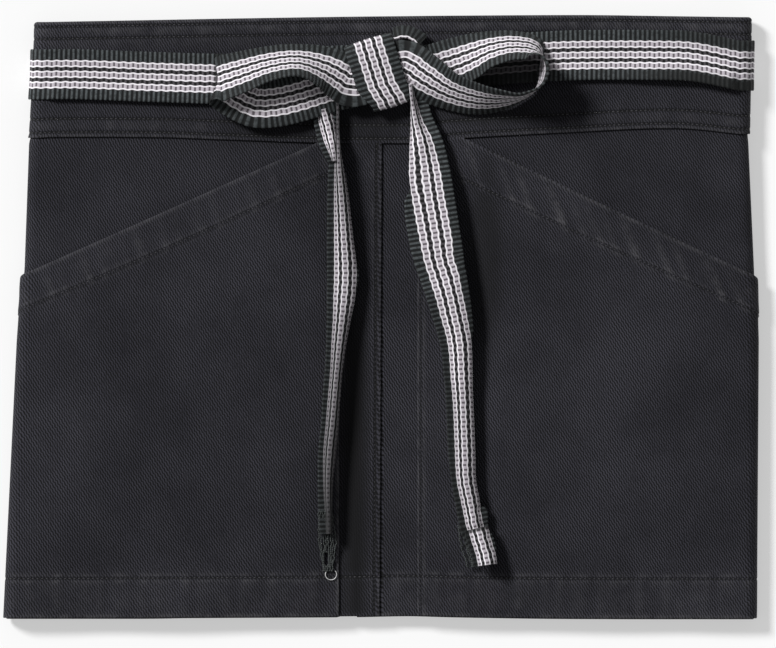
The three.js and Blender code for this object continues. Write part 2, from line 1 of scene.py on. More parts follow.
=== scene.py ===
import math
import bpy
import numpy as np
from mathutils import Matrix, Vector


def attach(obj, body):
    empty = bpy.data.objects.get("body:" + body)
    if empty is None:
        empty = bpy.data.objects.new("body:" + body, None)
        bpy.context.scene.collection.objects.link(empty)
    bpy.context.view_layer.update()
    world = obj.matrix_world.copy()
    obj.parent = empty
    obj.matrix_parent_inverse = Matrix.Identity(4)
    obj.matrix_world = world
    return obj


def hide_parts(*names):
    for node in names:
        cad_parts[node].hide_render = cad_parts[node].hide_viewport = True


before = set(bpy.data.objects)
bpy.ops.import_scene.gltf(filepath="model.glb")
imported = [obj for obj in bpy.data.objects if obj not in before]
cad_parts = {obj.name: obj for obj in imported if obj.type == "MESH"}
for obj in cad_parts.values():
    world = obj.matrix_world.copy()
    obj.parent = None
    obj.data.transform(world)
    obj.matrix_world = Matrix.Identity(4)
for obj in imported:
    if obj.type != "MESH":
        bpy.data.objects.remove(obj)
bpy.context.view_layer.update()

mm = 0.001
left, right = -1, 1

# Main sizes of the apron, in metres.
apron = {
    "length": 301.2 * mm,
    "halfWidth": 188 * mm,
    "wingDepth": 150 * mm,  # cloth folded behind
    "foldRadius": 3.7 * mm,
    "cloth": 1.0 * mm,
    "gap": 0.3 * mm,  # between neighbouring layers
    "hemDepth": 18.5 * mm,
    "seamTuck": 12 * mm,
    "lapWidth": 12.5 * mm,
    "lapSlope": 5,
    "centreSag": 2.0 * mm,
    "sagStart": 0.2,
    "sagEnd": 1.6,
    "bandHeight": 60 * mm,
    "waves": 0.55 * mm,  # gentle unevenness of the whole front
}
webbing = {
    "width": 25 * mm,
    "thickness": 1.2 * mm,
    "ribPitch": 2.4 * mm,
    "step": 0.48 * mm,  # length between sections
    "ribHeight": 0.22 * mm,  # relief of the ribs in the plain borders
    "scallop": 0.18 * mm,  # the edge goes in and out with the ribs
}

# Edges of the front as shares of the half width, the length and the band's height.
edgeTable = {
    "across": [-1.0, -0.91, -0.61, -0.436, -0.08, 0.08, 0.12, 0.2, 0.53, 0.8, 1.0],
    "drop": [0.0123, 0.0113, 0.008, 0.006, 0.0027, 0.0017, 0.0014, 0.001, 0, 0.002, 0.0037],
    "rise": [0.0007, 0.0007, 0.0013, 0.002, 0.0033, 0.005, 0.0044, 0.003, 0.0003, 0, 0],
    "band": [0.99, 0.955, 0.972, 1.0, 1.048, 1.053, 1.044, 1.02, 0.968, 0.927, 0.975],
    "belt": [0.437, 0.437, 0.478, 0.5, 0.446, 0.46, 0.47, 0.41, 0.335, 0.325, 0.42],
}
# Side folds from the top down.
sideTable = {
    "down": [0, 0.1, 0.2, 0.212, 0.42, 0.54, 1],
    "left": [0.916, 0.9195, 0.9305, 0.936, 0.948, 0.962, 0.998],
    "right": [0.98, 0.9775, 0.975, 0.977, 0.992, 0.998, 0.993],
}

cloth, gap = apron["cloth"], apron["gap"]
bandInner = cloth + gap
bandOuter = bandInner + cloth
bandBackInner = -gap - cloth
pocketInner = cloth + gap
lapRise = cloth + gap
mouthFacing = 0.6 * mm
beltInner = bandOuter + gap
beltOuter = beltInner + webbing["thickness"]
hemHeight = apron["foldRadius"] + pocketInner + cloth + mouthFacing


def ease(low, high, value):
    t = np.clip((value - low) / (high - low), 0, 1)
    return t * t * (3 - 2 * t)


def ridge(place, centre, width):
    return np.exp(-(((place - centre) / width) ** 2))


def smoothBetween(xs, ys, place):  # monotone cubic through the values, for every row of them at once
    i = np.clip(np.searchsorted(xs, place, side="right") - 1, 0, len(xs) - 2)
    slope = np.diff(ys) / np.diff(xs)
    before, after = slope[..., :-1], slope[..., 1:]
    same = before * after > 0
    inner = np.where(same, 2 * before * after / np.where(same, before + after, 1), 0)
    tangent = np.concatenate([slope[..., :1], inner, slope[..., -1:]], -1)
    h = np.diff(xs)[i]
    t = (place - xs[i]) / h
    start = (1 + 2 * t) * (1 - t) ** 2 * ys[..., i] + t * (1 - t) ** 2 * h * tangent[..., i]
    return start + t * t * (3 - 2 * t) * ys[..., i + 1] + t * t * (t - 1) * h * tangent[..., i + 1]


def readTable(table, key, place, column):
    xs, ys = np.array(table[key], float), np.array(table[column], float)
    return smoothBetween(xs, ys, np.clip(place, xs[0], xs[-1]))


def readRows(rows, i, column):  # a column of rows, at shares of a row
    return smoothBetween(np.arange(len(rows), dtype=float), np.array(rows, float)[:, column], i)


def ripple(place, lengths, seed):  # irregular waves, the same each run
    phases = np.random.default_rng(seed).uniform(0, 2 * np.pi, len(lengths))
    waves = [np.sin(2 * np.pi * place / length + phase) for length, phase in zip(lengths, phases)]
    return sum(waves) / len(lengths)


def edgeShare(x, column):
    return readTable(edgeTable, "across", x / apron["halfWidth"], column)


def topEdge(x):
    return apron["length"] * (0.5 - edgeShare(x, "drop"))


def bottomEdge(x):
    return apron["length"] * (edgeShare(x, "rise") - 0.5)


def bandEdge(x):
    return topEdge(x) - apron["bandHeight"] * edgeShare(x, "band")


def beltMiddle(x):
    return topEdge(x) - apron["bandHeight"] * edgeShare(x, "belt")


def fallShare(y):  # how far down the apron, from 0 to 1
    return 0.5 - y / apron["length"]


def foldAxis(side, y):
    down = fallShare(y)
    leftEdge = np.interp(down, sideTable["down"], sideTable["left"])
    rightEdge = np.interp(down, sideTable["down"], sideTable["right"])
    edge = apron["halfWidth"] * np.where(np.asarray(side) < 0, leftEdge, rightEdge)
    return side * (edge - apron["foldRadius"] - cloth)


def middleHeight(y):
    bandTop = apron["length"] / 2 - apron["bandHeight"]
    lift = ease(bandTop - apron["bandHeight"], bandTop, y)
    return hemHeight + (apron["foldRadius"] + beltOuter - hemHeight) * lift


def frontDip(x, y):  # how far the front lies below its level
    wingGap = apron["halfWidth"] - apron["wingDepth"]
    sag = apron["centreSag"] * (1 - ease(wingGap * apron["sagStart"], wingGap * apron["sagEnd"], abs(x)))
    inside = ease(0, 0.2, 1 - abs(x) / (0.93 * apron["halfWidth"])) * (1 - ease(0.04, 0.09, y))
    waves = ripple(x + 0.4 * y, [0.071, 0.113], 3) + ripple(y - 0.5 * x, [0.083, 0.131], 5)
    return sag + apron["waves"] * inside * (0.6 + waves)


# A place on the folded cloth. A station holds the side, the inner end of the front, the share of the
# front, the angle round the side fold and the depth along the wing. n is the layer, outwards.
def clothPoint(st, y, n):
    x0 = frontPlace(st, y)
    radius = apron["foldRadius"] + n
    x = x0 + st["side"] * (radius * np.sin(st["a"]) - st["d"])
    z = middleHeight(y) + radius * np.cos(st["a"]) - np.where(st["a"] == 0, frontDip(x0, y), 0)
    return np.stack(np.broadcast_arrays(x, y, np.maximum(z, 0)), -1)


def frontPlace(st, y):  # place across the front, for the edges and the fullness
    inner = st["inner"] + st["drift"] * fallShare(y)
    return inner + (foldAxis(st["side"], y) - inner) * st["f"]


def sideStations(side, innerX, wing, frontStep, wingStep, foldCount=12, rounded=True, drift=0.0):
    reach = abs(float(foldAxis(side, 0.0)) - innerX)
    f = np.linspace(0, 1, round(reach / frontStep) + 1)
    d = np.linspace(0, wing, round(wing / wingStep) + 1)[1:]
    if rounded:  # the cut edges are rounded
        f = np.concatenate([[0, 0.15 * mm / reach, 0.5 * mm / reach], f[1:]])
        d = np.concatenate([d[:-1], [wing - 0.5 * mm, wing - 0.15 * mm, wing]])
    a = np.linspace(0, np.pi, foldCount + 1)[1:]
    count = len(f) + foldCount + len(d)
    st = {
        "f": np.concatenate([f, np.ones(foldCount + len(d))]),
        "a": np.concatenate([np.zeros(len(f)), a, np.full(len(d), np.pi)]),
        "d": np.concatenate([np.zeros(len(f) + foldCount), d]),
        "thin": np.ones(count),
        "side": np.full(count, side),
        "inner": np.full(count, innerX),
        "drift": np.full(count, drift),
    }
    if rounded:
        st["thin"][[0, 1, -2, -1]] = [0.35, 0.8, 0.8, 0.35]
    st["s"] = abs(innerX + (foldAxis(side, 0.0) - innerX) * st["f"])
    st["s"] = st["s"] + st["a"] * (apron["foldRadius"] + cloth) + st["d"]
    return {key: value[:, None] for key, value in st.items()}


def aroundStations(wing, frontStep, wingStep):  # from one wing's edge to the other's
    a = sideStations(left, 0.0, wing, frontStep, wingStep, rounded=False)
    b = sideStations(right, 0.0, wing, frontStep, wingStep, rounded=False)
    return {key: np.concatenate([a[key][::-1], b[key][1:]]) for key in a}


def rowPlaces(bottom, top, low, high, step):  # fixed distances near both edges, an even middle
    lower = bottom + np.array(low)[None, :]
    upper = top - np.array(high)[None, ::-1]
    reach = float(np.mean(upper[:, 0] - lower[:, -1]))
    share = np.linspace(0, 1, max(2, round(reach / step)) + 1)[1:-1]
    return np.concatenate([lower, lower[:, -1:] + (upper[:, :1] - lower[:, -1:]) * share, upper], 1)


def addObject(name, data):
    made = bpy.data.objects.new(name, data)
    bpy.context.scene.collection.objects.link(made)
    return made


def newPiece(name, vertices, faces, uv, wearAndShade, material):
    corners = vertices[faces]
    volume = np.einsum("ij,ij->", corners[:, 0], np.cross(corners[:, 1], corners[:, 2]))
    volume += np.einsum("ij,ij->", corners[:, 0], np.cross(corners[:, 2], corners[:, 3]))
    if volume < 0:
        faces = faces[:, ::-1]
    mesh = bpy.data.meshes.new(name)
    mesh.from_pydata(vertices.tolist(), [], faces.tolist())
    order = np.zeros(len(mesh.loops), np.int32)
    mesh.loops.foreach_get("vertex_index", order)
    layer = mesh.uv_layers.new(name="weave")
    layer.data.foreach_set("uv", uv[order].astype(np.float32).ravel())
    # the wear-and-shade attribute: on cloth, wear above nought and painted shade below it; on webbing,
    # darkening towards the painted shade colour
    worn = mesh.attributes.new("wearAndShade", "FLOAT", "POINT")
    worn.data.foreach_set("value", wearAndShade.astype(np.float32))
    mesh.polygons.foreach_set("use_smooth", np.ones(len(mesh.polygons), bool))
    mesh.materials.append(material)
    mesh.update()
    return addObject(name, mesh)


def ringFaces(count, ring, closed):  # faces of a wall through rings, which pair up about their middle
    here = np.arange(count if closed else count - 1)[:, None]
    j = np.arange(ring)[None, :]
    k = (j + 1) % ring
    after = (here + 1) % count
    sides = np.stack([here * ring + j, after * ring + j, after * ring + k, here * ring + k], -1)
    faces = [sides.reshape(-1, 4)]
    if not closed:
        end = (count - 1) * ring
        i = np.arange(ring // 2 - 1)
        faces.append(np.stack([i, i + 1, ring - 2 - i, ring - 1 - i], -1))
        faces.append(np.stack([end + i, end + ring - 1 - i, end + ring - 2 - i, end + i + 1], -1))
    return np.concatenate(faces)


# Cloth wall with rounded rims: outer and inner are (y, n) pairs, a row of places for each station.
def clothWall(name, st, outer, inner, wearAndShade, material):
    middle = [(a + b) / 2 for a, b in zip(outer, inner)]
    half = [(a - b) / 2 * st["thin"] for a, b in zip(outer, inner)]
    front = clothPoint(st, middle[0] + half[0], middle[1] + half[1])
    back = clothPoint(st, middle[0] - half[0], middle[1] - half[1])
    centre, reach = (front + back) / 2, (front - back) / 2

    def rim(row, away):
        out = centre[:, row] - centre[:, away]
        want, have = [np.linalg.norm(part, axis=-1, keepdims=True) for part in (reach[:, row], out)]
        out *= want / have
        angles = np.radians([36, 72, 108, 144])
        return np.stack([centre[:, row] + reach[:, row] * math.cos(t) + out * math.sin(t) for t in angles], 1)

    top, bottom = rim(-1, -2), rim(0, 1)
    ring = np.concatenate([bottom[:, 1::-1], front, top, back[:, ::-1], bottom[:, :1:-1]], 1)

    def around(values, backValues):
        a, b = values[:, :1], values[:, -1:]
        return np.concatenate([a, a, values, b, b, b, b, backValues[:, ::-1], a, a], 1)

    count, size = ring.shape[:2]
    u = np.broadcast_to(st["s"] * st["side"], (count, size))
    uv = np.stack([u, around(outer[0], inner[0])], -1).reshape(-1, 2)
    worn = around(wearAndShade, wearAndShade * 0.3).ravel()
    return newPiece(name, ring.reshape(-1, 3), ringFaces(count, size, False), uv, worn, material)


# Materials: small helpers write the node arithmetic.
def feed(tree, socket, value):  # a plain value or another node's output
    if isinstance(value, (int, float, tuple)):
        socket.default_value = value
    else:
        tree.links.new(value, socket)


def mathNode(tree, operation, *values, clamp=False):
    node = tree.nodes.new("ShaderNodeMath")
    node.operation = operation
    node.use_clamp = clamp
    for socket, value in zip(node.inputs, values):
        feed(tree, socket, value)
    return node.outputs[0]


def times(tree, first, second, clamp=False):
    return mathNode(tree, "MULTIPLY", first, second, clamp=clamp)


def plus(tree, first, second):
    return mathNode(tree, "ADD", first, second)


def minus(tree, first, second):
    return mathNode(tree, "SUBTRACT", first, second)


def mixNode(tree, factor, first, second):
    node = tree.nodes.new("ShaderNodeMix")
    node.data_type = "RGBA"
    for place, value in ((0, factor), (6, first), (7, second)):  # the sockets that mix colours
        feed(tree, node.inputs[place], value)
    return node.outputs[2]


def setInputs(node, values):
    for title, value in values.items():
        node.inputs[title].default_value = value


def softStep(tree, low, high, value):
    node = tree.nodes.new("ShaderNodeMapRange")
    node.interpolation_type = "SMOOTHSTEP"
    setInputs(node, {"From Min": low, "From Max": high})
    tree.links.new(value, node.inputs["Value"])
    return node.outputs[0]


def noiseNode(tree, vector, scale, detail=3.0, roughness=0.55):
    node = tree.nodes.new("ShaderNodeTexNoise")
    setInputs(node, {"Scale": scale, "Detail": detail, "Roughness": roughness})
    tree.links.new(vector, node.inputs["Vector"])
    return node.outputs[0]


def newGroup(name, inputs, outputs):  # the place is a vector, all the rest are numbers
    group = bpy.data.node_groups.new(name, "ShaderNodeTree")
    for way, titles in (("INPUT", inputs), ("OUTPUT", outputs)):
        for title in titles:
            kind = "NodeSocketVector" if title == "Place" else "NodeSocketFloat"
            group.interface.new_socket(title, in_out=way, socket_type=kind)
    return group, group.nodes.new("NodeGroupInput").outputs, group.nodes.new("NodeGroupOutput").inputs


def splitPlace(tree, place):
    split = tree.nodes.new("ShaderNodeSeparateXYZ")
    tree.links.new(place, split.inputs[0])
    return split.outputs[0], split.outputs[1]


# Diagonal ribs of twill, each broken into short floats. Place is the cloth's own map, in metres.
def makeTwillWeave():
    names = ["Place", "Rib Pitch", "Float Length"]
    tree, given, result = newGroup("twillWeave", names, ["Height", "Fleck", "Clearness"])
    lean = math.radians(57)  # of the ribs
    sine, cosine = math.sin(lean), math.cos(lean)
    u, v = splitPlace(tree, given["Place"])
    wander = noiseNode(tree, given["Place"], 420.0)
    across = plus(tree, times(tree, u, sine), times(tree, v, cosine))
    along = minus(tree, times(tree, u, cosine), times(tree, v, sine))
    turn = mathNode(tree, "DIVIDE", across, given["Rib Pitch"])
    turn = plus(tree, turn, times(tree, wander, 0.6))
    wave = mathNode(tree, "SINE", times(tree, turn, 2 * math.pi))
    steps = plus(tree, mathNode(tree, "DIVIDE", along, given["Float Length"]), turn)
    floats = mathNode(tree, "SINE", times(tree, steps, 2 * math.pi))
    height = plus(tree, wave, times(tree, floats, 0.75))
    tree.links.new(mathNode(tree, "MULTIPLY_ADD", height, 0.29, 0.5), result["Height"])
    fleck = noiseNode(tree, given["Place"], 1900.0, 1.0)
    tree.links.new(fleck, result["Fleck"])
    narrow = tree.nodes.new("ShaderNodeVectorMath")
    narrow.operation = "MULTIPLY"
    narrow.inputs[1].default_value = (2.0, 0.8, 1.0)
    tree.links.new(given["Place"], narrow.inputs[0])
    patches = softStep(tree, 0.32, 0.62, noiseNode(tree, narrow.outputs[0], 85.0, 4.0, 0.8))
    clear = mathNode(tree, "MULTIPLY_ADD", patches, 1.9, 0.3)  # how plainly the ribs show, by upright patches
    tree.links.new(clear, result["Clearness"])
    return tree


# Where cloth has rubbed pale: the mask follows the painted wear and breaks it up with noise.
def makeRubbed():
    tree, given, result = newGroup("rubbedCloth", ["Place", "Wear", "Weave"], ["Mask", "Fade"])
    patches = noiseNode(tree, given["Place"], 130.0, 4.0, 0.7)
    broken = times(tree, given["Wear"], softStep(tree, 0.3, 0.68, patches))
    crests = mathNode(tree, "MULTIPLY_ADD", given["Weave"], 0.8, 0.35)
    tree.links.new(times(tree, broken, crests, clamp=True), result["Mask"])
    uneven = noiseNode(tree, given["Place"], 12.0, 7.0, 0.66)
    tree.links.new(softStep(tree, 0.32, 0.68, uneven), result["Fade"])
    return tree


twillLook = {
    "dark": (0.0010, 0.0010, 0.0014, 1),
    "light": (0.0228, 0.0224, 0.0305, 1),
    "fadedDark": (0.0036, 0.0036, 0.0046, 1),
    "fadedLight": (0.0425, 0.0418, 0.0535, 1),
    "worn": (0.088, 0.086, 0.093, 1),
    # the colour of painted shade: along the stitching, beside the bow and in the hollow by the left pocket
    "seam": (0.0030, 0.0030, 0.0036, 1),
    "ribPitch": 1.34 * mm,
    "floatLength": 2.3 * mm,
    "evenShade": 0.42,  # where the ribs don't show
    "flecks": 1.1,
    "depth": 0.22 * mm,
    "relief": 0.8,
    "roughness": 0.88,
    "sheen": 0.04,
}


def placeGroup(tree, group, **values):
    node = tree.nodes.new("ShaderNodeGroup")
    node.node_tree = group
    for title, value in values.items():
        feed(tree, node.inputs[title.replace("_", " ")], value)
    return node.outputs


def newMaterial(name, colour):
    material = bpy.data.materials.new(name)
    material.use_nodes = True
    material.diffuse_color = colour
    tree = material.node_tree
    shader = tree.nodes["Principled BSDF"]
    return material, tree, shader


def newFabric(name, colour):  # with the weave's own map, and the painted wear and painted shade
    material, tree, shader = newMaterial(name, colour)
    place = tree.nodes.new("ShaderNodeUVMap")
    place.uv_map = "weave"
    wearAndShade = tree.nodes.new("ShaderNodeAttribute")
    wearAndShade.attribute_name = "wearAndShade"
    return material, tree, shader, place.outputs[0], wearAndShade.outputs["Fac"]


def finishFabric(tree, shader, colour, height, look):
    bump = tree.nodes.new("ShaderNodeBump")
    setInputs(bump, {"Distance": look["depth"], "Strength": look["relief"]})
    tree.links.new(height, bump.inputs["Height"])
    tree.links.new(bump.outputs[0], shader.inputs["Normal"])
    tree.links.new(colour, shader.inputs["Base Color"])
    setInputs(shader, {"Roughness": look["roughness"], "Sheen Weight": look["sheen"]})
    setInputs(shader, {"Specular IOR Level": 0.25})


def makeTwill(name, weave, rubbed, look):
    material, tree, shader, place, wearAndShade = newFabric(name, look["light"])
    woven = placeGroup(tree, weave, Place=place, Rib_Pitch=look["ribPitch"], Float_Length=look["floatLength"])
    worn = placeGroup(tree, rubbed, Place=place, Wear=wearAndShade, Weave=woven["Height"])
    even = minus(tree, softStep(tree, 0.3, 0.75, woven["Height"]), look["evenShade"])
    shade = mathNode(tree, "MULTIPLY_ADD", even, woven["Clearness"], look["evenShade"])
    fleck = minus(tree, woven["Fleck"], 0.5)
    shade = mathNode(tree, "MULTIPLY_ADD", fleck, look["flecks"], shade, clamp=True)
    darkSide = mixNode(tree, worn["Fade"], look["dark"], look["fadedDark"])
    lightSide = mixNode(tree, worn["Fade"], look["light"], look["fadedLight"])
    colour = mixNode(tree, worn["Mask"], mixNode(tree, shade, darkSide, lightSide), look["worn"])
    # painted shade: below nought the wear-and-shade value darkens the colour towards the seam colour
    shadeAmount = times(tree, wearAndShade, -1.0, clamp=True)
    finishFabric(tree, shader, mixNode(tree, shadeAmount, colour, look["seam"]), woven["Height"], look)
    return material


# Webbing weave on the strip's own map: u runs along it and v across it from the middle, in metres.
# Ribbed plain borders, and three ladder stripes of two wavy white yarns with grey blocks between.
def makeWebbingWeave():
    outputs = ["White", "Ladder", "Block", "Rib", "Border", "Height"]
    tree, given, result = newGroup("webbingWeave", ["Place", "Rib Pitch", "Stripe Pitch"], outputs)
    u, v = splitPlace(tree, given["Place"])
    jitter = times(tree, minus(tree, noiseNode(tree, given["Place"], 900.0, 1.0), 0.5), 0.3)
    turn = plus(tree, mathNode(tree, "DIVIDE", u, given["Rib Pitch"]), times(tree, jitter, 0.35))
    ribWave = mathNode(tree, "COSINE", times(tree, turn, 2 * math.pi))
    sway = mathNode(tree, "SINE", times(tree, turn, math.pi))
    stripe = mathNode(tree, "DIVIDE", v, given["Stripe Pitch"])
    nearest = mathNode(tree, "MAXIMUM", mathNode(tree, "MINIMUM", mathNode(tree, "ROUND", stripe), 1.0), -1.0)
    local = minus(tree, stripe, nearest)  # in stripe pitches from the stripe's middle
    local = plus(tree, local, times(tree, sway, 0.036))
    away = mathNode(tree, "ABSOLUTE", local)
    line = mathNode(tree, "ABSOLUTE", minus(tree, away, 0.255))
    line = minus(tree, line, times(tree, jitter, 0.06))
    white = minus(tree, 1.0, softStep(tree, 0.045, 0.092, line))
    inner = minus(tree, 1.0, softStep(tree, 0.2, 0.27, away))
    blocks = times(tree, inner, softStep(tree, -0.8, 0.2, ribWave))
    border = softStep(tree, 1.35, 1.42, mathNode(tree, "ABSOLUTE", stripe))
    uneven = softStep(tree, 0.3, 0.66, noiseNode(tree, given["Place"], 520.0, 3.0, 0.7))
    rib = times(tree, softStep(tree, -0.5, 0.75, ribWave), mathNode(tree, "MULTIPLY_ADD", uneven, 0.9, 0.35))
    height = mathNode(tree, "MAXIMUM", times(tree, rib, 0.55), white)
    height = mathNode(tree, "MAXIMUM", height, times(tree, blocks, 0.7))
    for title, value in zip(outputs, (white, inner, blocks, rib, border, height)):
        tree.links.new(value, result[title])
    return tree


webbingLook = {
    "ground": (0.0024, 0.0025, 0.0028, 1),
    "groundRib": (0.075, 0.069, 0.077, 1),
    "border": (0.0026, 0.0034, 0.0039, 1),
    "borderRib": (0.074, 0.085, 0.089, 1),
    "ladderGap": (0.118, 0.103, 0.117, 1),
    "ladder": (0.490, 0.450, 0.495, 1),
    "white": (0.90, 0.87, 0.91, 1),
    # the colour of painted shade on the webbing
    "paintedShade": (0.006, 0.007, 0.007, 1),
    "stripePitch": 5.3 * mm,
    "depth": 0.25 * mm,
    "relief": 0.7,
    "roughness": 0.72,
    "sheen": 0.05,
}


def makeWebbing(name, weave, look):
    material, tree, shader, place, dim = newFabric(name, look["ladder"])
    pitches = {"Rib_Pitch": webbing["ribPitch"], "Stripe_Pitch": look["stripePitch"]}
    parts = placeGroup(tree, weave, Place=place, **pitches)
    inside = mixNode(tree, parts["Rib"], look["ground"], look["groundRib"])
    outside = mixNode(tree, parts["Rib"], look["border"], look["borderRib"])
    colour = mixNode(tree, parts["Border"], inside, outside)
    for part, tone in (("Ladder", "ladderGap"), ("Block", "ladder"), ("White", "white")):
        colour = mixNode(tree, parts[part], colour, look[tone])
    # dim, read from the wear-and-shade attribute, darkens the weave towards the painted shade colour
    finishFabric(tree, shader, mixNode(tree, dim, colour, look["paintedShade"]), parts["Height"], look)
    return material


def makeThread(name, colour):
    material, tree, shader = newMaterial(name, colour)
    where = tree.nodes.new("ShaderNodeTexCoord")
    tone = softStep(tree, 0.3, 0.7, noiseNode(tree, where.outputs["Object"], 700.0, 2.0))
    dim = tuple(0.55 * part for part in colour[:3]) + (1,)
    tree.links.new(mixNode(tree, tone, dim, colour), shader.inputs["Base Color"])
    shader.inputs["Roughness"].default_value = 0.7
    return material


twill = makeTwill("charcoalTwill", makeTwillWeave(), makeRubbed(), twillLook)
ribbed = makeWebbing("stripedWebbing", makeWebbingWeave(), webbingLook)
thread = makeThread("charcoalThread", (0.044, 0.043, 0.049, 1))
whiteThread = makeThread("whiteThread", (0.75, 0.75, 0.75, 1))
frayed = makeThread("frayedYarn", (0.045, 0.052, 0.051, 1))
print("materials made")


# Stitches: a Geometry Nodes tree lays small threads along the seams' lines.
stitching = {"pitch": 2.3 * mm, "length": 1.35 * mm, "width": 0.62 * mm, "height": 0.34 * mm}
threadLift = 0.05 * mm
threadBead = {"Segments": 6, "Rings": 5, "Radius": 0.5}
threadSpread = {"Min": (0.85, 0.85, 0.8), "Max": (1.15, 1.15, 1.1), "Seed": 7}


def makeStitchTree():
    tree = bpy.data.node_groups.new("stitchesAlongSeams", "GeometryNodeTree")
    kinds = {title: "Float" for title in ("Pitch", "Length", "Width", "Height")}
    sockets = {}
    for title, kind in {"Seams": "Geometry", **kinds, "Thread": "Material"}.items():
        socket = tree.interface.new_socket(title, in_out="INPUT", socket_type="NodeSocket" + kind)
        sockets[title.lower()] = socket.identifier
    tree.interface.new_socket("Stitches", in_out="OUTPUT", socket_type="NodeSocketGeometry")
    given, result = tree.nodes.new("NodeGroupInput").outputs, tree.nodes.new("NodeGroupOutput").inputs
    curve = tree.nodes.new("GeometryNodeMeshToCurve")
    points = tree.nodes.new("GeometryNodeCurveToPoints")
    points.mode = "LENGTH"
    bead = tree.nodes.new("GeometryNodeMeshUVSphere")
    setInputs(bead, threadBead)
    size = tree.nodes.new("ShaderNodeCombineXYZ")
    shape = tree.nodes.new("GeometryNodeTransform")
    align = tree.nodes.new("FunctionNodeAlignRotationToVector")
    align.axis = "Z"
    place = tree.nodes.new("GeometryNodeInstanceOnPoints")
    vary = tree.nodes.new("FunctionNodeRandomValue")
    vary.data_type = "FLOAT_VECTOR"
    setInputs(vary, threadSpread)
    real = tree.nodes.new("GeometryNodeRealizeInstances")
    finish = tree.nodes.new("GeometryNodeSetMaterial")
    link = tree.links.new
    link(given["Seams"], curve.inputs["Mesh"])
    link(curve.outputs[0], points.inputs["Curve"])
    link(given["Pitch"], points.inputs["Length"])
    link(given["Height"], size.inputs[0])
    link(given["Width"], size.inputs[1])
    link(given["Length"], size.inputs[2])
    link(bead.outputs["Mesh"], shape.inputs["Geometry"])
    link(size.outputs[0], shape.inputs["Scale"])
    link(points.outputs["Tangent"], align.inputs["Vector"])
    link(points.outputs["Points"], place.inputs["Points"])
    link(shape.outputs[0], place.inputs["Instance"])
    link(align.outputs[0], place.inputs["Rotation"])
    link(vary.outputs[0], place.inputs["Scale"])
    link(place.outputs[0], real.inputs[0])
    link(real.outputs[0], finish.inputs["Geometry"])
    link(given["Thread"], finish.inputs["Material"])
    link(finish.outputs[0], result["Stitches"])
    return tree, sockets


stitchTree, stitchSockets = makeStitchTree()


def sewLines(name, lines, material, sizes=stitching):  # lines are rows of places on the cloth
    mesh = bpy.data.meshes.new(name)
    vertices, edges = [], []
    for line in lines:
        start = len(vertices)
        vertices += [tuple(place) for place in np.asarray(line).reshape(-1, 3)]
        edges += [(i, i + 1) for i in range(start, len(vertices) - 1)]
    mesh.from_pydata(vertices, edges, [])
    draft = addObject(name + "_lines", mesh)
    modifier = draft.modifiers.new("stitches", "NODES")
    modifier.node_group = stitchTree
    for title, value in sizes.items():
        modifier[stitchSockets[title]] = value
    modifier[stitchSockets["thread"]] = material
    bpy.context.view_layer.update()
    made = bpy.data.meshes.new_from_object(draft.evaluated_get(bpy.context.evaluated_depsgraph_get()))
    made.name = name
    made.polygons.foreach_set("use_smooth", np.ones(len(made.polygons), bool))
    bpy.data.objects.remove(draft)
    return addObject(name, made)


def seamLine(st, y, n):
    return clothPoint(st, np.broadcast_to(y, st["f"].shape), n + threadLift)[:, 0]


def pick(st, keep):  # some of the stations
    return {key: value[keep] for key, value in st.items()}


# Front halves of the body
panel = {
    "hemStitch": 19.2 * mm,  # above the bottom edge
    "hemTurn": 20.6 * mm,
    "hemRows": np.array(
        [0, 0.6, 1.5, 3, 5, 7.5, 10, 12.5, 15, 16.8, 17.8, 18.5, 19.2, 19.9, 20.4, 20.9, 22, 24]
    ) * mm,
    "seamStitch": 2.8 * mm,  # from the lapped edge
    "seamDrift": -1.5 * mm,  # the lapped edge leans a little
    "groove": 0.32 * mm,
    "shade": 1.35,
    "wingRise": 1.7 * mm,
    "hollowPlace": -13 * mm,
    "hollowWidth": 7 * mm,
    "hollowShade": 0.95,
    "step": 1.9 * mm,
}


def hemRelief(st, y):  # groove and puckers along the hem's stitching
    above = y - bottomEdge(frontPlace(st, 0.0))
    puckers = ripple(st["s"] * st["side"], [0.0068, 0.0103, 0.0151], 11) * 0.22 * mm
    near = ease(0, 4 * mm, above) * (1 - ease(panel["hemStitch"], panel["hemStitch"] + 6 * mm, above))
    return puckers * near - panel["groove"] * ridge(above, panel["hemStitch"], 0.55 * mm)


def seamShade(away):  # painted shade along the rows of stitching, below nought in the wear-and-shade value
    return panel["shade"] * ridge(away, 0, 0.62 * mm)


# Soft shade on the cloth beside the bow and the right tail: middle, reach each way and strength.
bowShades = [
    (-50 * mm, 94 * mm, 30 * mm, 8 * mm, 0.7),
    (-6 * mm, 96 * mm, 20 * mm, 12 * mm, 0.65),
    (58 * mm, 100 * mm, 32 * mm, 6 * mm, 0.6),
    (52 * mm, 30 * mm, 9 * mm, 50 * mm, 0.65),
]


def bowShade(st, y):
    x = frontPlace(st, y)
    shades = []
    for a, b, c, d, dark in bowShades:
        shades.append(dark * np.exp(-((((x - a) / c) ** 2 + ((y - b) / d) ** 2) ** 2)))
    return np.minimum(sum(shades), 0.85) * (st["a"] == 0)


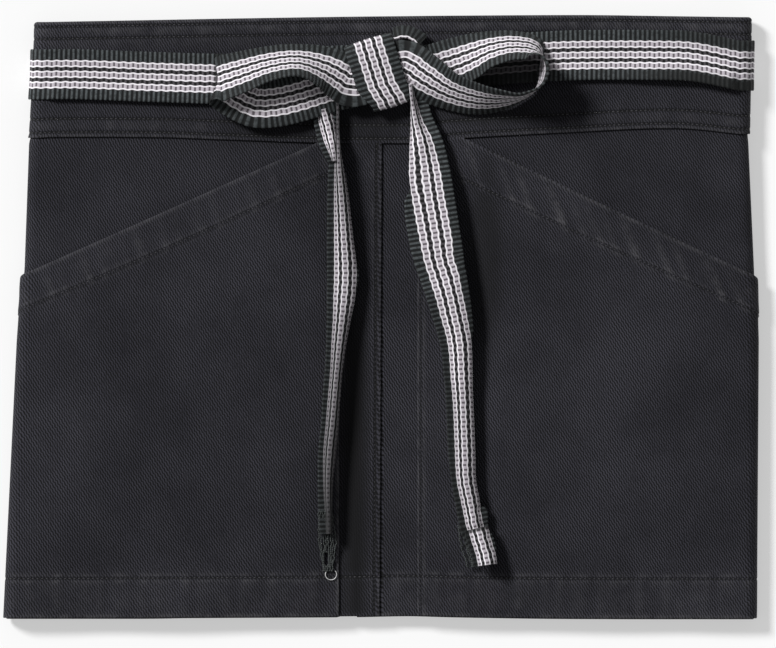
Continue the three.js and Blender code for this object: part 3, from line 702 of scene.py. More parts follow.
def hemWearAndShade(st, y):
    above = y - bottomEdge(frontPlace(st, 0.0))
    along = 0.55 + 0.45 * ripple(st["s"] * st["side"], [0.0068, 0.0103, 0.0151], 11)
    zone = ease(0, 3 * mm, above) * (1 - ease(panel["hemStitch"], panel["hemStitch"] + 5 * mm, above))
    stitch = panel["hemStitch"]
    lines = ridge(above, stitch - 1.2 * mm, 1.1 * mm) + ridge(above, stitch + 1.3 * mm, 1.0 * mm)
    wearAndShade = np.clip(0.2 * zone * along + 0.52 * lines * along + 0.6 * ridge(above, 0, 1.1 * mm), 0, 1)
    return wearAndShade - seamShade(above - panel["hemStitch"])


def lapShare(st, y):  # 1 on the lap of the left half, 0 past its slope
    x = -frontPlace(st, y) * (st["side"] < 0) + (st["side"] > 0)
    return 1 - ease(apron["lapWidth"] + gap, apron["lapWidth"] + gap + apron["lapSlope"] * lapRise, x)


def panelOuter(st, y):
    x = frontPlace(st, y)
    fromSeam = np.where(st["side"] < 0, st["inner"] + st["drift"] * fallShare(y) - x, 1.0)
    pucker = ripple(y, [0.0081, 0.0123], 17) * 0.12 * mm * ridge(fromSeam, 0, 5 * mm)
    seam = pucker - panel["groove"] * ridge(fromSeam, panel["seamStitch"], 0.6 * mm)
    return lapRise * lapShare(st, y) + cloth + hemRelief(st, y) + seam


def makePanel(side, name):
    inner = gap if side == left else gap - apron["lapWidth"]
    drift = panel["seamDrift"] if side == left else 0.0
    inner += 0.5 * mm if side == left else 0
    st = sideStations(side, inner, apron["wingDepth"], panel["step"], 2.8 * mm, drift=drift)
    if side == left:  # extra places at the seam's stitching
        extra = np.array([1.6, 2.3, 2.8, 3.3, 4.0]) * mm / (abs(float(foldAxis(side, 0.0))) + inner)
        st = withExtra(st, extra)
    x = frontPlace(st, 0.0)
    bottom = bottomEdge(x)
    short = (side == left) & (x > -(apron["lapWidth"] + (apron["lapSlope"] + 1) * lapRise)) & (st["a"] == 0)
    top = bandEdge(x) + np.where(short, -gap, apron["seamTuck"])
    y = rowPlaces(bottom, top, panel["hemRows"], np.array([0, 0.7, 2]) * mm, panel["step"])
    n = panelOuter(st, y)
    turned = (1 - ease(panel["hemTurn"] - 0.3 * mm, panel["hemTurn"] + 0.3 * mm, y - bottom)) * ~short
    wearAndShade = hemWearAndShade(st, y) - bowShade(st, y)
    if side == left:  # the hollow beside the pocket's raised edge lies in shade
        hollow = ridge(frontPlace(st, y), panel["hollowPlace"], panel["hollowWidth"]) * (st["a"] == 0)
        wearAndShade = wearAndShade - panel["hollowShade"] * hollow * ease(45 * mm, -30 * mm, y)
        edge = inner + drift * fallShare(y) - frontPlace(st, y)
        rubbed = 0.5 * ridge(edge, 0, 1.0 * mm) + 0.35 * ridge(edge, 4 * mm, 1.2 * mm)
        flat = st["a"] == 0
        wearAndShade = np.clip(wearAndShade + rubbed * flat, -1, 1) - seamShade(edge - panel["seamStitch"]) * flat
    wall = lapRise * lapShare(st, y) - cloth * turned
    y = y + panel["wingRise"] * ease(60 * mm, apron["wingDepth"], st["d"])  # the wings end short of the front
    return clothWall(name, st, (y, n), (y, wall), wearAndShade, twill), st


def withExtra(st, places):  # adds places across the front
    order = np.argsort(np.concatenate([st["f"][:, 0] + st["a"][:, 0] + st["d"][:, 0] * 1000, places]))
    source = {}
    for key, value in st.items():
        more = np.interp(places, st["f"][:, 0][st["a"][:, 0] == 0], value[:, 0][st["a"][:, 0] == 0])
        source[key] = np.concatenate([value[:, 0], more])[order][:, None]
    return source


leftPanel, leftPanelAt = makePanel(left, "left_panel_cloth")
rightPanel, rightPanelAt = makePanel(right, "right_panel_cloth")
print("front halves made")


# Pockets: the mouth falls from the waistband to the side fold, with a doubled strip along it.
pocketSizes = {"depth": 5.2 * mm, "return": 30 * mm, "rise": 0.28, "step": 1.6 * mm}
leftPocketShape = {
    "edge": 21 * mm,
    "start": 30.5 * mm,
    "drop": 64.2 * mm,
    "out": [0, 0.014, 0.04, 0.12, 0.25, 0.42, 0.58, 0.74, 0.88, 1],
    "full": [0, 0.55, 0.72, 0.88, 1, 1, 1, 0.92, 0.5, 0],
    "along": [0, 0.5, 1],  # from the inner edge to the side fold
    "stitch": [17.0 * mm, 18.1 * mm, 17.2 * mm],  # below the mouth
}
rightPocketShape = {
    "edge": 18.2 * mm,
    "start": 40.5 * mm,
    "drop": 67.2 * mm,
    "out": [0, 0.06, 0.14, 0.25, 0.4, 0.56, 0.72, 0.86, 1],
    "full": [0, 0.1, 0.45, 0.9, 1, 1, 0.94, 0.55, 0],
    "along": [0, 0.5, 1],
    "stitch": [20.0 * mm, 19.5 * mm, 17.3 * mm],
}
pocketShapes = {left: leftPocketShape, right: rightPocketShape}


def mouthLine(side, x, beyond):  # the slanting line of the mouth, carried on under the waistband
    shape = pocketShapes[side]
    slope = shape["drop"] / (abs(float(foldAxis(side, 0.0))) - shape["start"])
    start = float(bandEdge(side * shape["start"])) - gap
    return start - slope * (abs(x) - shape["start"] + beyond)


def mouthEdge(side, x, beyond):
    return np.minimum(bandEdge(x) - gap, mouthLine(side, x, beyond))


def pocketRoom(side, x, y):
    shape = pocketShapes[side]
    out = (abs(x) - shape["edge"]) / (abs(foldAxis(side, y)) - shape["edge"])
    hemLine = bottomEdge(x) + apron["hemDepth"]
    height = ease(0, pocketSizes["rise"], (y - hemLine) / (mouthEdge(side, x, 0) - hemLine))
    return pocketSizes["depth"] * readTable(shape, "out", out, "full") * height


def pocketOuter(side, st, y):
    shape = pocketShapes[side]
    x0 = frontPlace(st, 0.0)
    beyond = st["a"] * (apron["foldRadius"] + pocketInner) + st["d"]
    below = mouthLine(side, x0, beyond) - y
    share = (abs(x0) - shape["edge"]) / (abs(foldAxis(side, 0.0)) - shape["edge"])
    stitch = readTable(shape, "along", share, "stitch")
    facing = mouthFacing * (1 - ease(stitch + 0.5 * mm, stitch + 1.6 * mm, below))
    puckers = ripple(st["s"] * st["side"] + 0.35 * y, [0.0073, 0.0109, 0.0161], 23 + side) * 0.34 * mm
    near = ease(0, 10 * mm, below) * (1 - ease(stitch, stitch + 6 * mm, below))
    groove = panel["groove"] * 1.2 * ridge(below, stitch, 0.6 * mm)
    edge = np.where(st["a"] == 0, abs(frontPlace(st, y)) - shape["edge"], 1.0)
    if side == right:
        groove = groove + 0.8 * panel["groove"] * ridge(edge, 1.8 * mm, 0.55 * mm)
    room = pocketRoom(side, frontPlace(st, y), y)
    n = pocketInner + room + cloth + facing + puckers * near - groove + hemRelief(st, y)
    return n, below, stitch, edge


def makePocket(side, name):
    shape = pocketShapes[side]
    st = sideStations(side, side * shape["edge"], pocketSizes["return"], pocketSizes["step"], 2 * mm)
    reach = abs(float(foldAxis(side, 0.0))) - shape["edge"]
    st = withExtra(st, np.array([0.8, 1.2, 2.4, 2.8]) * mm / reach)
    x = frontPlace(st, 0.0)
    beyond = st["a"] * (apron["foldRadius"] + pocketInner) + st["d"]
    top = mouthEdge(side, x, beyond)
    high = [0, 0.5, 1.2, 2.5, 4.5, 7, 9.5, 12, 14, 15.5, 16.4]
    high += [17, 17.5, 18, 18.5, 19, 19.6, 20.2, 21, 22.2, 24]
    y = rowPlaces(bottomEdge(x), top, panel["hemRows"], np.array(high) * mm, pocketSizes["step"])
    n, below, stitch, edge = pocketOuter(side, st, y)
    inner = pocketInner + pocketRoom(side, frontPlace(st, y), y)
    folds = 0.5 + 0.5 * ripple(st["s"] * st["side"] + 0.35 * y, [0.0073, 0.0109, 0.0161], 23 + side)
    band = ease(0, 8 * mm, below) * (1 - ease(stitch, stitch + 3 * mm, below))
    lines = 0.75 * ridge(below, stitch - 1.3 * mm, 1.0 * mm) + 0.6 * ridge(below, stitch + 1.3 * mm, 0.9 * mm)
    pale = 0.55 if side == right else 0.3
    wearAndShade = 0.45 * ridge(below, 0.3 * mm, 0.9 * mm) + (pale * band * ease(0.3, 0.95, folds) + lines) * folds
    wearAndShade = wearAndShade + (0.8 if side == left else 0.55) * ridge(edge, 0.2 * mm, 1.2 * mm)
    wearAndShade = wearAndShade + (0.35 * ridge(edge, 3 * mm, 1 * mm) if side == right else 0)
    wearAndShade = np.clip(wearAndShade, 0, 1) + hemWearAndShade(st, y) - 0.6 * seamShade(below - stitch) - bowShade(st, y)
    wearAndShade = wearAndShade - (0.7 * seamShade(edge - 1.8 * mm) if side == right else 0)
    return clothWall(name, st, (y, n), (y, inner), np.clip(wearAndShade, -1, 1), twill), st


leftPocket, leftPocketAt = makePocket(left, "left_pocket_cloth")
rightPocket, rightPocketAt = makePocket(right, "right_pocket_cloth")
print("pockets made")


# Waistband: an outer leg, a round fold along the top edge and an inner leg behind the halves.
band = {
    "low": [2.0 * mm, 8.7 * mm],  # rows of stitching above the lower edge
    "high": [2.6 * mm, 8.6 * mm],  # and below the top edge
    "step": 1.6 * mm,
    "puff": 0.16 * mm,
}
bandRound = (bandOuter - bandBackInner) / 2
bandMiddle = (bandOuter + bandBackInner) / 2


def bandSurface(st, y):
    x = frontPlace(st, 0.0)
    above, below = y - bandEdge(x), topEdge(x) - y
    where = st["s"] * st["side"]
    relief = 0
    for place in band["low"]:
        relief = relief - panel["groove"] * ridge(above, place, 0.55 * mm)
    for place in band["high"]:
        relief = relief - panel["groove"] * ridge(below, place, 0.55 * mm)
    puckers = ripple(where, [0.0079, 0.0118, 0.021], 31) * band["puff"]
    upper = (1 - ease(9 * mm, 15 * mm, below)) * ease(2 * mm, 4 * mm, below)
    edges = (1 - ease(9 * mm, 15 * mm, above)) + upper
    return bandOuter + relief + puckers * edges * ease(0, 1.5 * mm, above)


def makeWaistband(name):
    st = aroundStations(apron["wingDepth"], 1.5 * mm, 2.8 * mm)
    x = frontPlace(st, 0.0)
    top, bottom = topEdge(x) - bandRound, bandEdge(x)
    low = np.array([0, 0.5, 1.2, 1.6, 2.0, 2.4, 3.0, 4.2, 5.8, 7.2, 8.0, 8.4, 8.7, 9.1, 9.7, 11]) * mm
    high = np.array([0, 0.4, 0.8, 1.2, 1.8, 3.0, 4.6, 5.8, 6.4, 6.8, 7.2, 7.8, 9.2]) * mm
    y = rowPlaces(bottom, top, low, high, band["step"])
    n = bandSurface(st, y)
    arc = np.radians(np.arange(22.5, 180, 22.5))[None, :]
    small = bandRound - cloth
    back = top + (bottom - top) * np.linspace(0, 1, 24)[None, :]
    outerY = np.concatenate([y, top + bandRound * np.sin(arc), back], 1)
    innerY = np.concatenate([y, top + small * np.sin(arc), back], 1)
    arcs, backs = arc * np.ones_like(top), np.ones_like(back)
    outerN = np.concatenate([n, bandMiddle + bandRound * np.cos(arcs), backs * bandBackInner], 1)
    innerN = np.concatenate([y * 0 + bandInner, bandMiddle + small * np.cos(arcs), backs * -gap], 1)
    above, below = y - bottom, topEdge(x) - y
    along = 0.6 + 0.4 * ripple(st["s"] * st["side"], [0.0079, 0.0118, 0.021], 31)
    wearAndShade = 0.3 * ridge(above, 0.2 * mm, 0.9 * mm) + 0.28 * along * (1 - ease(7 * mm, 14 * mm, above))
    wearAndShade = wearAndShade + 0.38 * along * (1 - ease(7 * mm, 18 * mm, below)) + 0.25 * ridge(below, 4.5 * mm, 1.5 * mm)
    wearAndShade = np.clip(wearAndShade, 0, 1) - bowShade(st, y)
    for place in band["low"]:
        wearAndShade = wearAndShade - seamShade(above - place)
    for place in band["high"]:
        wearAndShade = wearAndShade - seamShade(below - place)
    crest = np.full((len(x), arc.shape[1]), 0.5)
    wearAndShade = np.clip(np.concatenate([wearAndShade, crest, backs * 0.1], 1), -1, 1)
    return clothWall(name, st, (outerY, outerN), (innerY, innerN), wearAndShade, twill), st


waistband, waistbandAt = makeWaistband("waistband_cloth")
print("waistband made")


# Seams of the cloth pieces, as lines on their surfaces
def hemSeam(st, keep, outer):
    st = pick(st, keep)
    y = bottomEdge(frontPlace(st, 0.0)) + panel["hemStitch"]
    return seamLine(st, y, outer(st, y))


def flatMask(st):
    return st["thin"][:, 0] > 0.9


def panelSeams(side, st):
    shape = pocketShapes[side]
    st0 = st["a"][:, 0] == 0
    centre = flatMask(st) & st0 & (abs(frontPlace(st, 0.0)[:, 0]) < shape["edge"] - 0.5 * mm)
    if side == right:
        centre &= frontPlace(st, 0.0)[:, 0] > 1.5 * mm
    wing = flatMask(st) & (st["d"][:, 0] > pocketSizes["return"])
    lines = [hemSeam(st, centre, panelOuter), hemSeam(st, wing, panelOuter)]
    if side == left:
        y = np.linspace(float(bottomEdge(0.0)) + 1.5 * mm, float(bandEdge(0.0)) - 1 * mm, 160)[:, None]
        edge = st["inner"][0, 0] + panel["seamDrift"] * fallShare(y) - panel["seamStitch"]
        f = abs(edge / foldAxis(left, y))
        at = {"side": left, "inner": 0.0, "drift": 0.0, "f": f, "a": 0 * f, "d": 0 * f}
        lines.append(clothPoint(at, y, lapRise + cloth - panel["groove"] + threadLift)[:, 0])
    return lines


def pocketSeams(side, st):
    shape = pocketShapes[side]
    keep = flatMask(st)
    lines = [hemSeam(st, keep, lambda a, y: pocketOuter(side, a, y)[0])]
    at = pick(st, keep)
    x = frontPlace(at, 0.0)
    beyond = at["a"] * (apron["foldRadius"] + pocketInner) + at["d"]
    share = (abs(x) - shape["edge"]) / (abs(foldAxis(side, 0.0)) - shape["edge"])
    y = mouthLine(side, x, beyond) - readTable(shape, "along", share, "stitch")
    lines.append(seamLine(at, y, pocketOuter(side, at, y)[0]))
    if side == right:
        low, high = float(bottomEdge(x[0])[0]), float(bandEdge(x[0])[0])
        y = np.linspace(low + 1.5 * mm, high - 1.5 * mm, 160)[:, None]
        at = {key: np.full((len(y), 1), value[0, 0]) for key, value in st.items()}
        at["f"] = 1.8 * mm / (abs(foldAxis(side, y)) - shape["edge"])
        at["s"] = at["s"] * 0 + shape["edge"] + 1.8 * mm
        lines.append(clothPoint(at, y, pocketOuter(side, at, y)[0] + threadLift)[:, 0])
    return lines


def bandSeams(st):
    x = frontPlace(st, 0.0)
    rows = [bandEdge(x) + place for place in band["low"]] + [topEdge(x) - place for place in band["high"]]
    return [seamLine(st, y, bandSurface(st, y)) for y in rows]


clothSeams = {
    "left_panel_stitches": sewLines("left_panel_stitches", panelSeams(left, leftPanelAt), thread),
    "right_panel_stitches": sewLines("right_panel_stitches", panelSeams(right, rightPanelAt), thread),
    "left_pocket_stitches": sewLines("left_pocket_stitches", pocketSeams(left, leftPocketAt), thread),
    "right_pocket_stitches": sewLines("right_pocket_stitches", pocketSeams(right, rightPocketAt), thread),
    "waistband_stitches": sewLines("waistband_stitches", bandSeams(waistbandAt), thread),
}
print("seams stitched")


# Webbing: a strip along frames, with ribs in its plain borders. v is the place across the webbing.
columns = np.concatenate([[-0.5, -0.494, -0.478], np.linspace(-0.455, 0.455, 17), [0.478, 0.494, 0.5]])
edgeThin = np.concatenate([[0.3, 0.72, 0.95], np.ones(17), [0.95, 0.72, 0.3]])


# Rows of points become a strip.
def webbingSkin(name, point, face, sideways, u, v, thick, closed=False, dim=0.0):
    ribs = 0.5 + 0.5 * np.cos(2 * np.pi * u / webbing["ribPitch"])
    border = ease(6.9 * mm, 7.6 * mm, abs(v))
    scallop = webbing["scallop"] * (ribs - 0.5) * np.sign(columns) * ease(0.44, 0.49, abs(columns))
    point = point + sideways * scallop[..., None]
    half = thick / 2 * edgeThin[None, :] + webbing["ribHeight"] * (ribs - 0.6) * (0.25 + 0.75 * border)
    half = np.maximum(half, 0.12 * mm)[..., None]
    ring = np.concatenate([point + face * half, (point - face * half)[:, ::-1]], 1)
    uv = np.stack([np.concatenate([part, part[:, ::-1]], 1) for part in np.broadcast_arrays(u, v)], -1)
    faces = ringFaces(len(point), ring.shape[1], closed)
    dim = np.broadcast_to(dim, point.shape[:2])
    dim = np.concatenate([dim, dim[:, ::-1]], 1).ravel()
    return newPiece(name, ring.reshape(-1, 3), faces, uv.reshape(-1, 2), dim, ribbed)


def makeRibbon(name, place, across, normal, u, width, curl, thick, shift=0.0, closed=False, dim=(0, 0)):
    count = len(place)
    sizes = [np.broadcast_to(value, count)[:, None] for value in (width, curl, thick, shift)]
    width, curl, thick, shift = sizes
    share = columns[None, :]
    v = share * width + shift
    angle = np.radians(curl) * share
    radius = width / np.radians(curl)
    sideways, dip = radius * np.sin(angle), radius * (np.cos(angle) - 1)
    point = place[:, None] + across[:, None] * sideways[..., None] + normal[:, None] * dip[..., None]
    face = normal[:, None] * np.cos(angle)[..., None] + across[:, None] * np.sin(angle)[..., None]
    dim = dim[0] + (dim[1] - dim[0]) * ease(6.6 * mm, 7.8 * mm, abs(v))  # of the stripes and of the borders
    return webbingSkin(name, point, face, across[:, None], u[:, None], v, thick, closed, dim)


def unit(vectors):
    return vectors / np.linalg.norm(vectors, axis=-1, keepdims=True)


def curveAt(points, i):  # smooth curve through the rows, at shares of a row
    ends = np.concatenate([[2 * points[0] - points[1]], points, [2 * points[-1] - points[-2]]])
    k = np.clip(np.floor(i).astype(int), 0, len(points) - 2)
    w = (i - k)[:, None]
    p = [ends[k + j] for j in range(4)]
    span = [np.linalg.norm(b - a, axis=1)[:, None] ** 0.5 for a, b in zip(p, p[1:])]
    first = (p[1] - p[0]) / span[0] - (p[2] - p[0]) / (span[0] + span[1]) + (p[2] - p[1]) / span[1]
    last = (p[2] - p[1]) / span[1] - (p[3] - p[1]) / (span[1] + span[2]) + (p[3] - p[2]) / span[2]
    first, last = first * span[1], last * span[1]
    square = -3 * p[1] + 3 * p[2] - 2 * first - last
    cube = 2 * p[1] - 2 * p[2] + first + last
    return p[1] + first * w + square * w**2 + cube * w**3


def evenSteps(points, step):  # shares of a row at even lengths along the curve, and those lengths
    fine = np.linspace(0, len(points) - 1, 30 * (len(points) - 1) + 1)
    line = curveAt(points, fine)
    length = np.concatenate([[0], np.cumsum(np.linalg.norm(np.diff(line, axis=0), axis=1))])
    count = round(length[-1] / step)
    even = np.linspace(0, length[-1], count + 1)
    return np.interp(even, length, fine), even


# A strip along the points. Its rows hold heading and lean, in degrees.
def makeStrip(name, points, rows, width, curl=6.0, shift=0.0, dim=(0, 0)):
    i, u = evenSteps(points, webbing["step"])
    place = curveAt(points, i)
    along = unit(np.gradient(place, axis=0))
    heading, lean = np.radians(readRows(rows, i, 0)), np.radians(readRows(rows, i, 1))
    wide = np.stack([np.cos(lean) * np.sin(heading), np.cos(lean) * np.cos(heading), np.sin(lean)], -1)
    normal = unit(np.cross(along, wide))
    across = unit(np.cross(normal, along))
    piece = makeRibbon(name, place, across, normal, u, width, curl, webbing["thickness"], shift, dim=dim)
    return piece, float(u[-1])


# Belt: one closed loop round the waistband and both side folds.
belt = {
    # painted shade where the belt shows through the right loop
    "hollow": (65.5 * mm, 120.1 * mm, 21 * mm, 10.5 * mm),  # what shows through the right loop is dark
    "hollowDim": 0.85,
    # from the tip on, painted shade darkens the belt under the left loop
    "tip": -83.8 * mm,  # from here on the left loop covers the belt
    "stand": 2.0 * mm,
    "lift": 2.3 * mm,  # the right part's lower edge stands off
    "liftStart": 0.62,
    "liftEnd": 0.78,
}


def makeBelt(name):
    y = 0.125
    reach = [abs(float(foldAxis(side, y))) for side in (left, right)]
    halves = []
    for side, wing in zip((left, right), reach):
        st = sideStations(side, 0.0, wing, 0.4 * mm, 0.4 * mm, foldCount=60, rounded=False)
        halves.append(np.stack([side * st[key][:, 0] for key in ("f", "a", "d")]))
    fine = np.concatenate([halves[0][:, ::-1], halves[1][:, 1:]], 1)

    def stations(values):
        side = np.where(values.sum(0) < 0, left, right)[:, None]
        f, a, d = [abs(row)[:, None] for row in values]
        return {"side": side, "inner": side * 0.0, "drift": side * 0.0, "f": f, "a": a, "d": d}

    def middle(st):
        y = beltMiddle(frontPlace(st, 0.0))
        ends = [float(beltMiddle(foldAxis(side, 0.0))) for side in (left, right)]
        half = (ends[1] - ends[0]) / 2 * ease(0, 0.15, st["d"])
        return y - st["side"] * half * (st["d"] > 0)

    st = stations(fine)
    line = clothPoint(st, middle(st), (beltInner + beltOuter) / 2)[:, 0]
    length = np.concatenate([[0], np.cumsum(np.linalg.norm(np.diff(line, axis=0), axis=1))])
    repeats = round(length[-1] / (2 * webbing["ribPitch"]))
    count = repeats * 10
    even = np.linspace(0, length[-1], count + 1)[:-1]
    st = stations(np.stack([np.interp(even, length, row) for row in fine]))
    u = np.arange(count) * 2 * webbing["ribPitch"] / 10
    y = middle(st)
    share = columns[None, :]
    v = share * webbing["width"]
    ribs = 0.5 + 0.5 * np.cos(2 * np.pi * u[:, None] / webbing["ribPitch"])
    border = ease(6.9 * mm, 7.6 * mm, abs(v))
    scallop = webbing["scallop"] * (ribs - 0.5) * np.sign(share) * ease(0.44, 0.49, abs(share))
    half = webbing["thickness"] / 2 * edgeThin[None, :]
    half = half + webbing["ribHeight"] * (ribs - 0.6) * (0.25 + 0.75 * border)
    place = frontPlace(st, 0.0) / apron["halfWidth"]
    lift = ease(belt["liftStart"], belt["liftEnd"], place) * (st["a"] == 0) * (1 - ease(0.95, 0.975, place))
    stand = belt["stand"] * ease(0, 0.02, st["f"]) * (st["a"] == 0) * (1 - ease(0.97, 1, st["f"]))
    n = (beltInner + beltOuter) / 2 + (stand + belt["lift"] * lift) * ease(0.1, -0.5, share)
    front = clothPoint(st, y + v + scallop, n + half)
    back = clothPoint(st, y + v + scallop, n - half)
    ring = np.concatenate([front, back[:, ::-1]], 1)
    uv = np.stack(np.broadcast_arrays(u[:, None], np.concatenate([v, v[:, ::-1]], 1)), -1)
    faces = ringFaces(count, ring.shape[1], True)
    # Painted shade on the belt inside the right loop and under the left loop's tip
    hollow = belt["hollow"]
    away = np.hypot((ring[..., 0] - hollow[0]) / hollow[2], (ring[..., 1] - hollow[1]) / hollow[3])
    x = ring[..., 0]
    shadeUnderLoop = ease(belt["tip"], belt["tip"] + 1.4 * mm, x) * (1 - ease(-60 * mm, -55 * mm, x))
    dim = belt["hollowDim"] * np.maximum(1 - ease(0.8, 1.15, away), shadeUnderLoop)
    across = uv[..., 1]
    # Painted shade on the belt's borders towards its right end
    borderShade = 0.6 * ease(110 * mm, 165 * mm, x) + 0.35 * ease(90 * mm, 140 * mm, x) * (across < 0)
    dim = np.maximum(dim, borderShade * ease(6.6 * mm, 7.8 * mm, abs(across)))  # its borders turn from the light
    dim = dim * (ring[..., 2] > middleHeight(0.12))
    return newPiece(name, ring.reshape(-1, 3), faces, uv.reshape(-1, 2), dim.ravel(), ribbed), length[-1]


beltPiece, beltLength = makeBelt("belt_webbing")
print("belt made")


# Bow: two loops, the knot round their ends, a short fold behind it and two tails.
bow = {
    "leftReach": 80.2 * mm,  # middle of the knot to the tips of the loops
    "rightReach": 84.5 * mm,
    "loopHeight": 24 * mm,
    "knotLength": 36.4 * mm,
    "knotHeight": 10 * mm,
    "knotSlant": math.radians(17.5),
    "knotTaper": 5 * mm,  # the lower end is drawn in at its left
    "endRise": 1.85 * mm,
    "endPlay": 1.0 * mm,
    "exitPlay": 1.5 * mm,
    "knotX": -1.5 * mm,
    "knotDrop": 29.3 * mm,
    "tuckWidth": 7.5 * mm,
    "tuckReach": 22 * mm,
    "tuckShift": 9.9 * mm,  # only the border and one white line of it show
}
# out, up, rise, heading and lean, from the top of the knot out to the tip and back
leftLoopRows = [
    (0.24, -0.04, 0.345, 6, -12),
    (0.33, 0.11, 0.4, 20, -34),
    (0.498, 0.256, 0.5, 6, -51),
    (0.673, 0.196, 0.48, -8, -47),
    (0.847, 0.03, 0.43, -12, -35),
    (0.955, -0.08, 0.375, -6, -26),
    (0.992, -0.13, 0.3, 4, -16),
    (0.965, -0.2, 0.24, 18, -6),
    (0.88, -0.4, 0.21, 24, 2),
    (0.76, -0.58, 0.21, 10, 2),
    (0.629, -0.564, 0.21, -8, 2),
    (0.486, -0.456, 0.2, -14, 2),
    (0.33, -0.3, 0.16, -16, 1),
]
rightLoopRows = [
    (0.26, -0.044, 0.355, 18, 15),
    (0.423, -0.354, 0.385, 25, 42),
    (0.589, -0.51, 0.433, 27, 52),
    (0.74, -0.526, 0.483, 18, 66),
    (0.87, -0.444, 0.525, 30, 80),
    (0.953, -0.254, 0.54, 60, 80),
    (0.979, -0.014, 0.535, 95, 78),
    (0.976, 0.266, 0.527, 140, 74),
    (0.929, 0.496, 0.5, 178, 62),
    (0.799, 0.57, 0.472, 180, 55),
    (0.669, 0.496, 0.42, 176, 45),
    (0.562, 0.356, 0.29, 168, 27),
    (0.438, 0.206, 0.167, 166, 8),
    (0.265, 0.066, 0.1375, 163, 1),
]
tuckRows = [
    (0.345, 0.8, 0.45, -17.5, -40),
    (0.6, 0.84, 0.5, 0, -40),
    (0.84, 0.78, 0.56, 32, -34),
    (1.02, 0.65, 0.6, 50, -28),
]
knotY = apron["length"] / 2 - bow["knotDrop"]


def frontHeight(x, y, n):  # height of a layer of the front
    return middleHeight(y) + apron["foldRadius"] + n - frontDip(x, y)


beltTop = float(frontHeight(bow["knotX"], knotY, beltOuter))
knotAcross = np.array([math.cos(bow["knotSlant"]), math.sin(bow["knotSlant"]), 0.0])
knotAlong = np.array([-math.sin(bow["knotSlant"]), math.cos(bow["knotSlant"]), 0.0])


def knotPoint(shift, height):
    return np.array([bow["knotX"], knotY, beltTop + height]) + knotAcross * shift


def makeLoop(name, side, rows, reach):
    turned = 180 if side == right else 0
    slant = math.degrees(bow["knotSlant"])
    middle = gap + bow["knotHeight"] / 2
    out = webbing["width"] / 2 + bow["exitPlay"]
    places = []
    for row in rows:
        x, y = bow["knotX"] + side * reach * row[0], knotY + webbing["width"] * row[1]
        places.append([x, y, float(frontHeight(x, y, beltOuter)) + bow["loopHeight"] * row[2]])
    high, low = middle + bow["endRise"], middle - bow["endRise"]
    first = [knotPoint(side * bow["endPlay"], high), knotPoint(side * out, high)]
    last = [knotPoint(side * out, low), knotPoint(side * bow["endPlay"], low)]
    turns = [(-slant, 0), (-slant, 0), *[row[3:] for row in rows], (turned - slant, 0), (turned - slant, 0)]
    return makeStrip(name, np.array([*first, *places, *last]), turns, webbing["width"], dim=(0, 0.35))


def makeKnot(name):
    power = 3.2
    angle = np.linspace(0, 2 * np.pi, 721)
    inset = webbing["thickness"] / 2
    c, s = np.cos(angle), np.sin(angle)
    run = (bow["knotLength"] / 2 - inset) * np.sign(c) * abs(c) ** (2 / power)
    up = (bow["knotHeight"] / 2 - inset) * np.sign(s) * abs(s) ** (2 / power)
    length = np.concatenate([[0], np.cumsum(np.hypot(np.diff(run), np.diff(up)))])
    count = round(length[-1] / (2 * webbing["ribPitch"])) * 10
    even = np.linspace(0, length[-1], count + 1)[:-1]
    run, up = np.interp(even, length, run), np.interp(even, length, up)
    centre = knotPoint(0, gap + bow["knotHeight"] / 2)
    place = centre + knotAlong * run[:, None] + np.array([0, 0, 1.0]) * up[:, None]
    along = unit(np.roll(place, -1, 0) - np.roll(place, 1, 0))
    lower = ease(-4 * mm, -18 * mm, run)
    width = webbing["width"] - bow["knotTaper"] * lower
    place = place + knotAcross * (bow["knotTaper"] / 2 * lower)[:, None]
    across = np.broadcast_to(knotAcross, place.shape)
    normal = unit(np.cross(across, along))
    outward = np.sum(normal * (place - centre), -1, keepdims=True)
    normal = normal * np.sign(outward)
    u = np.arange(count) * 2 * webbing["ribPitch"] / 10
    sizes = (width, 14.0, webbing["thickness"])
    piece = makeRibbon(name, place, across, normal, u, *sizes, closed=True, dim=(0, 0.25))
    return piece, float(length[-1])


def makeTuck(name):
    places = []
    for row in tuckRows:
        x, y = bow["knotX"] + bow["tuckReach"] * row[0], knotY + webbing["width"] * row[1]
        places.append([x, y, beltTop + bow["knotHeight"] * row[2]])
    turns = [row[3:] for row in tuckRows]
    return makeStrip(name, np.array(places), turns, bow["tuckWidth"], shift=bow["tuckShift"], dim=(0.1, 0.6))


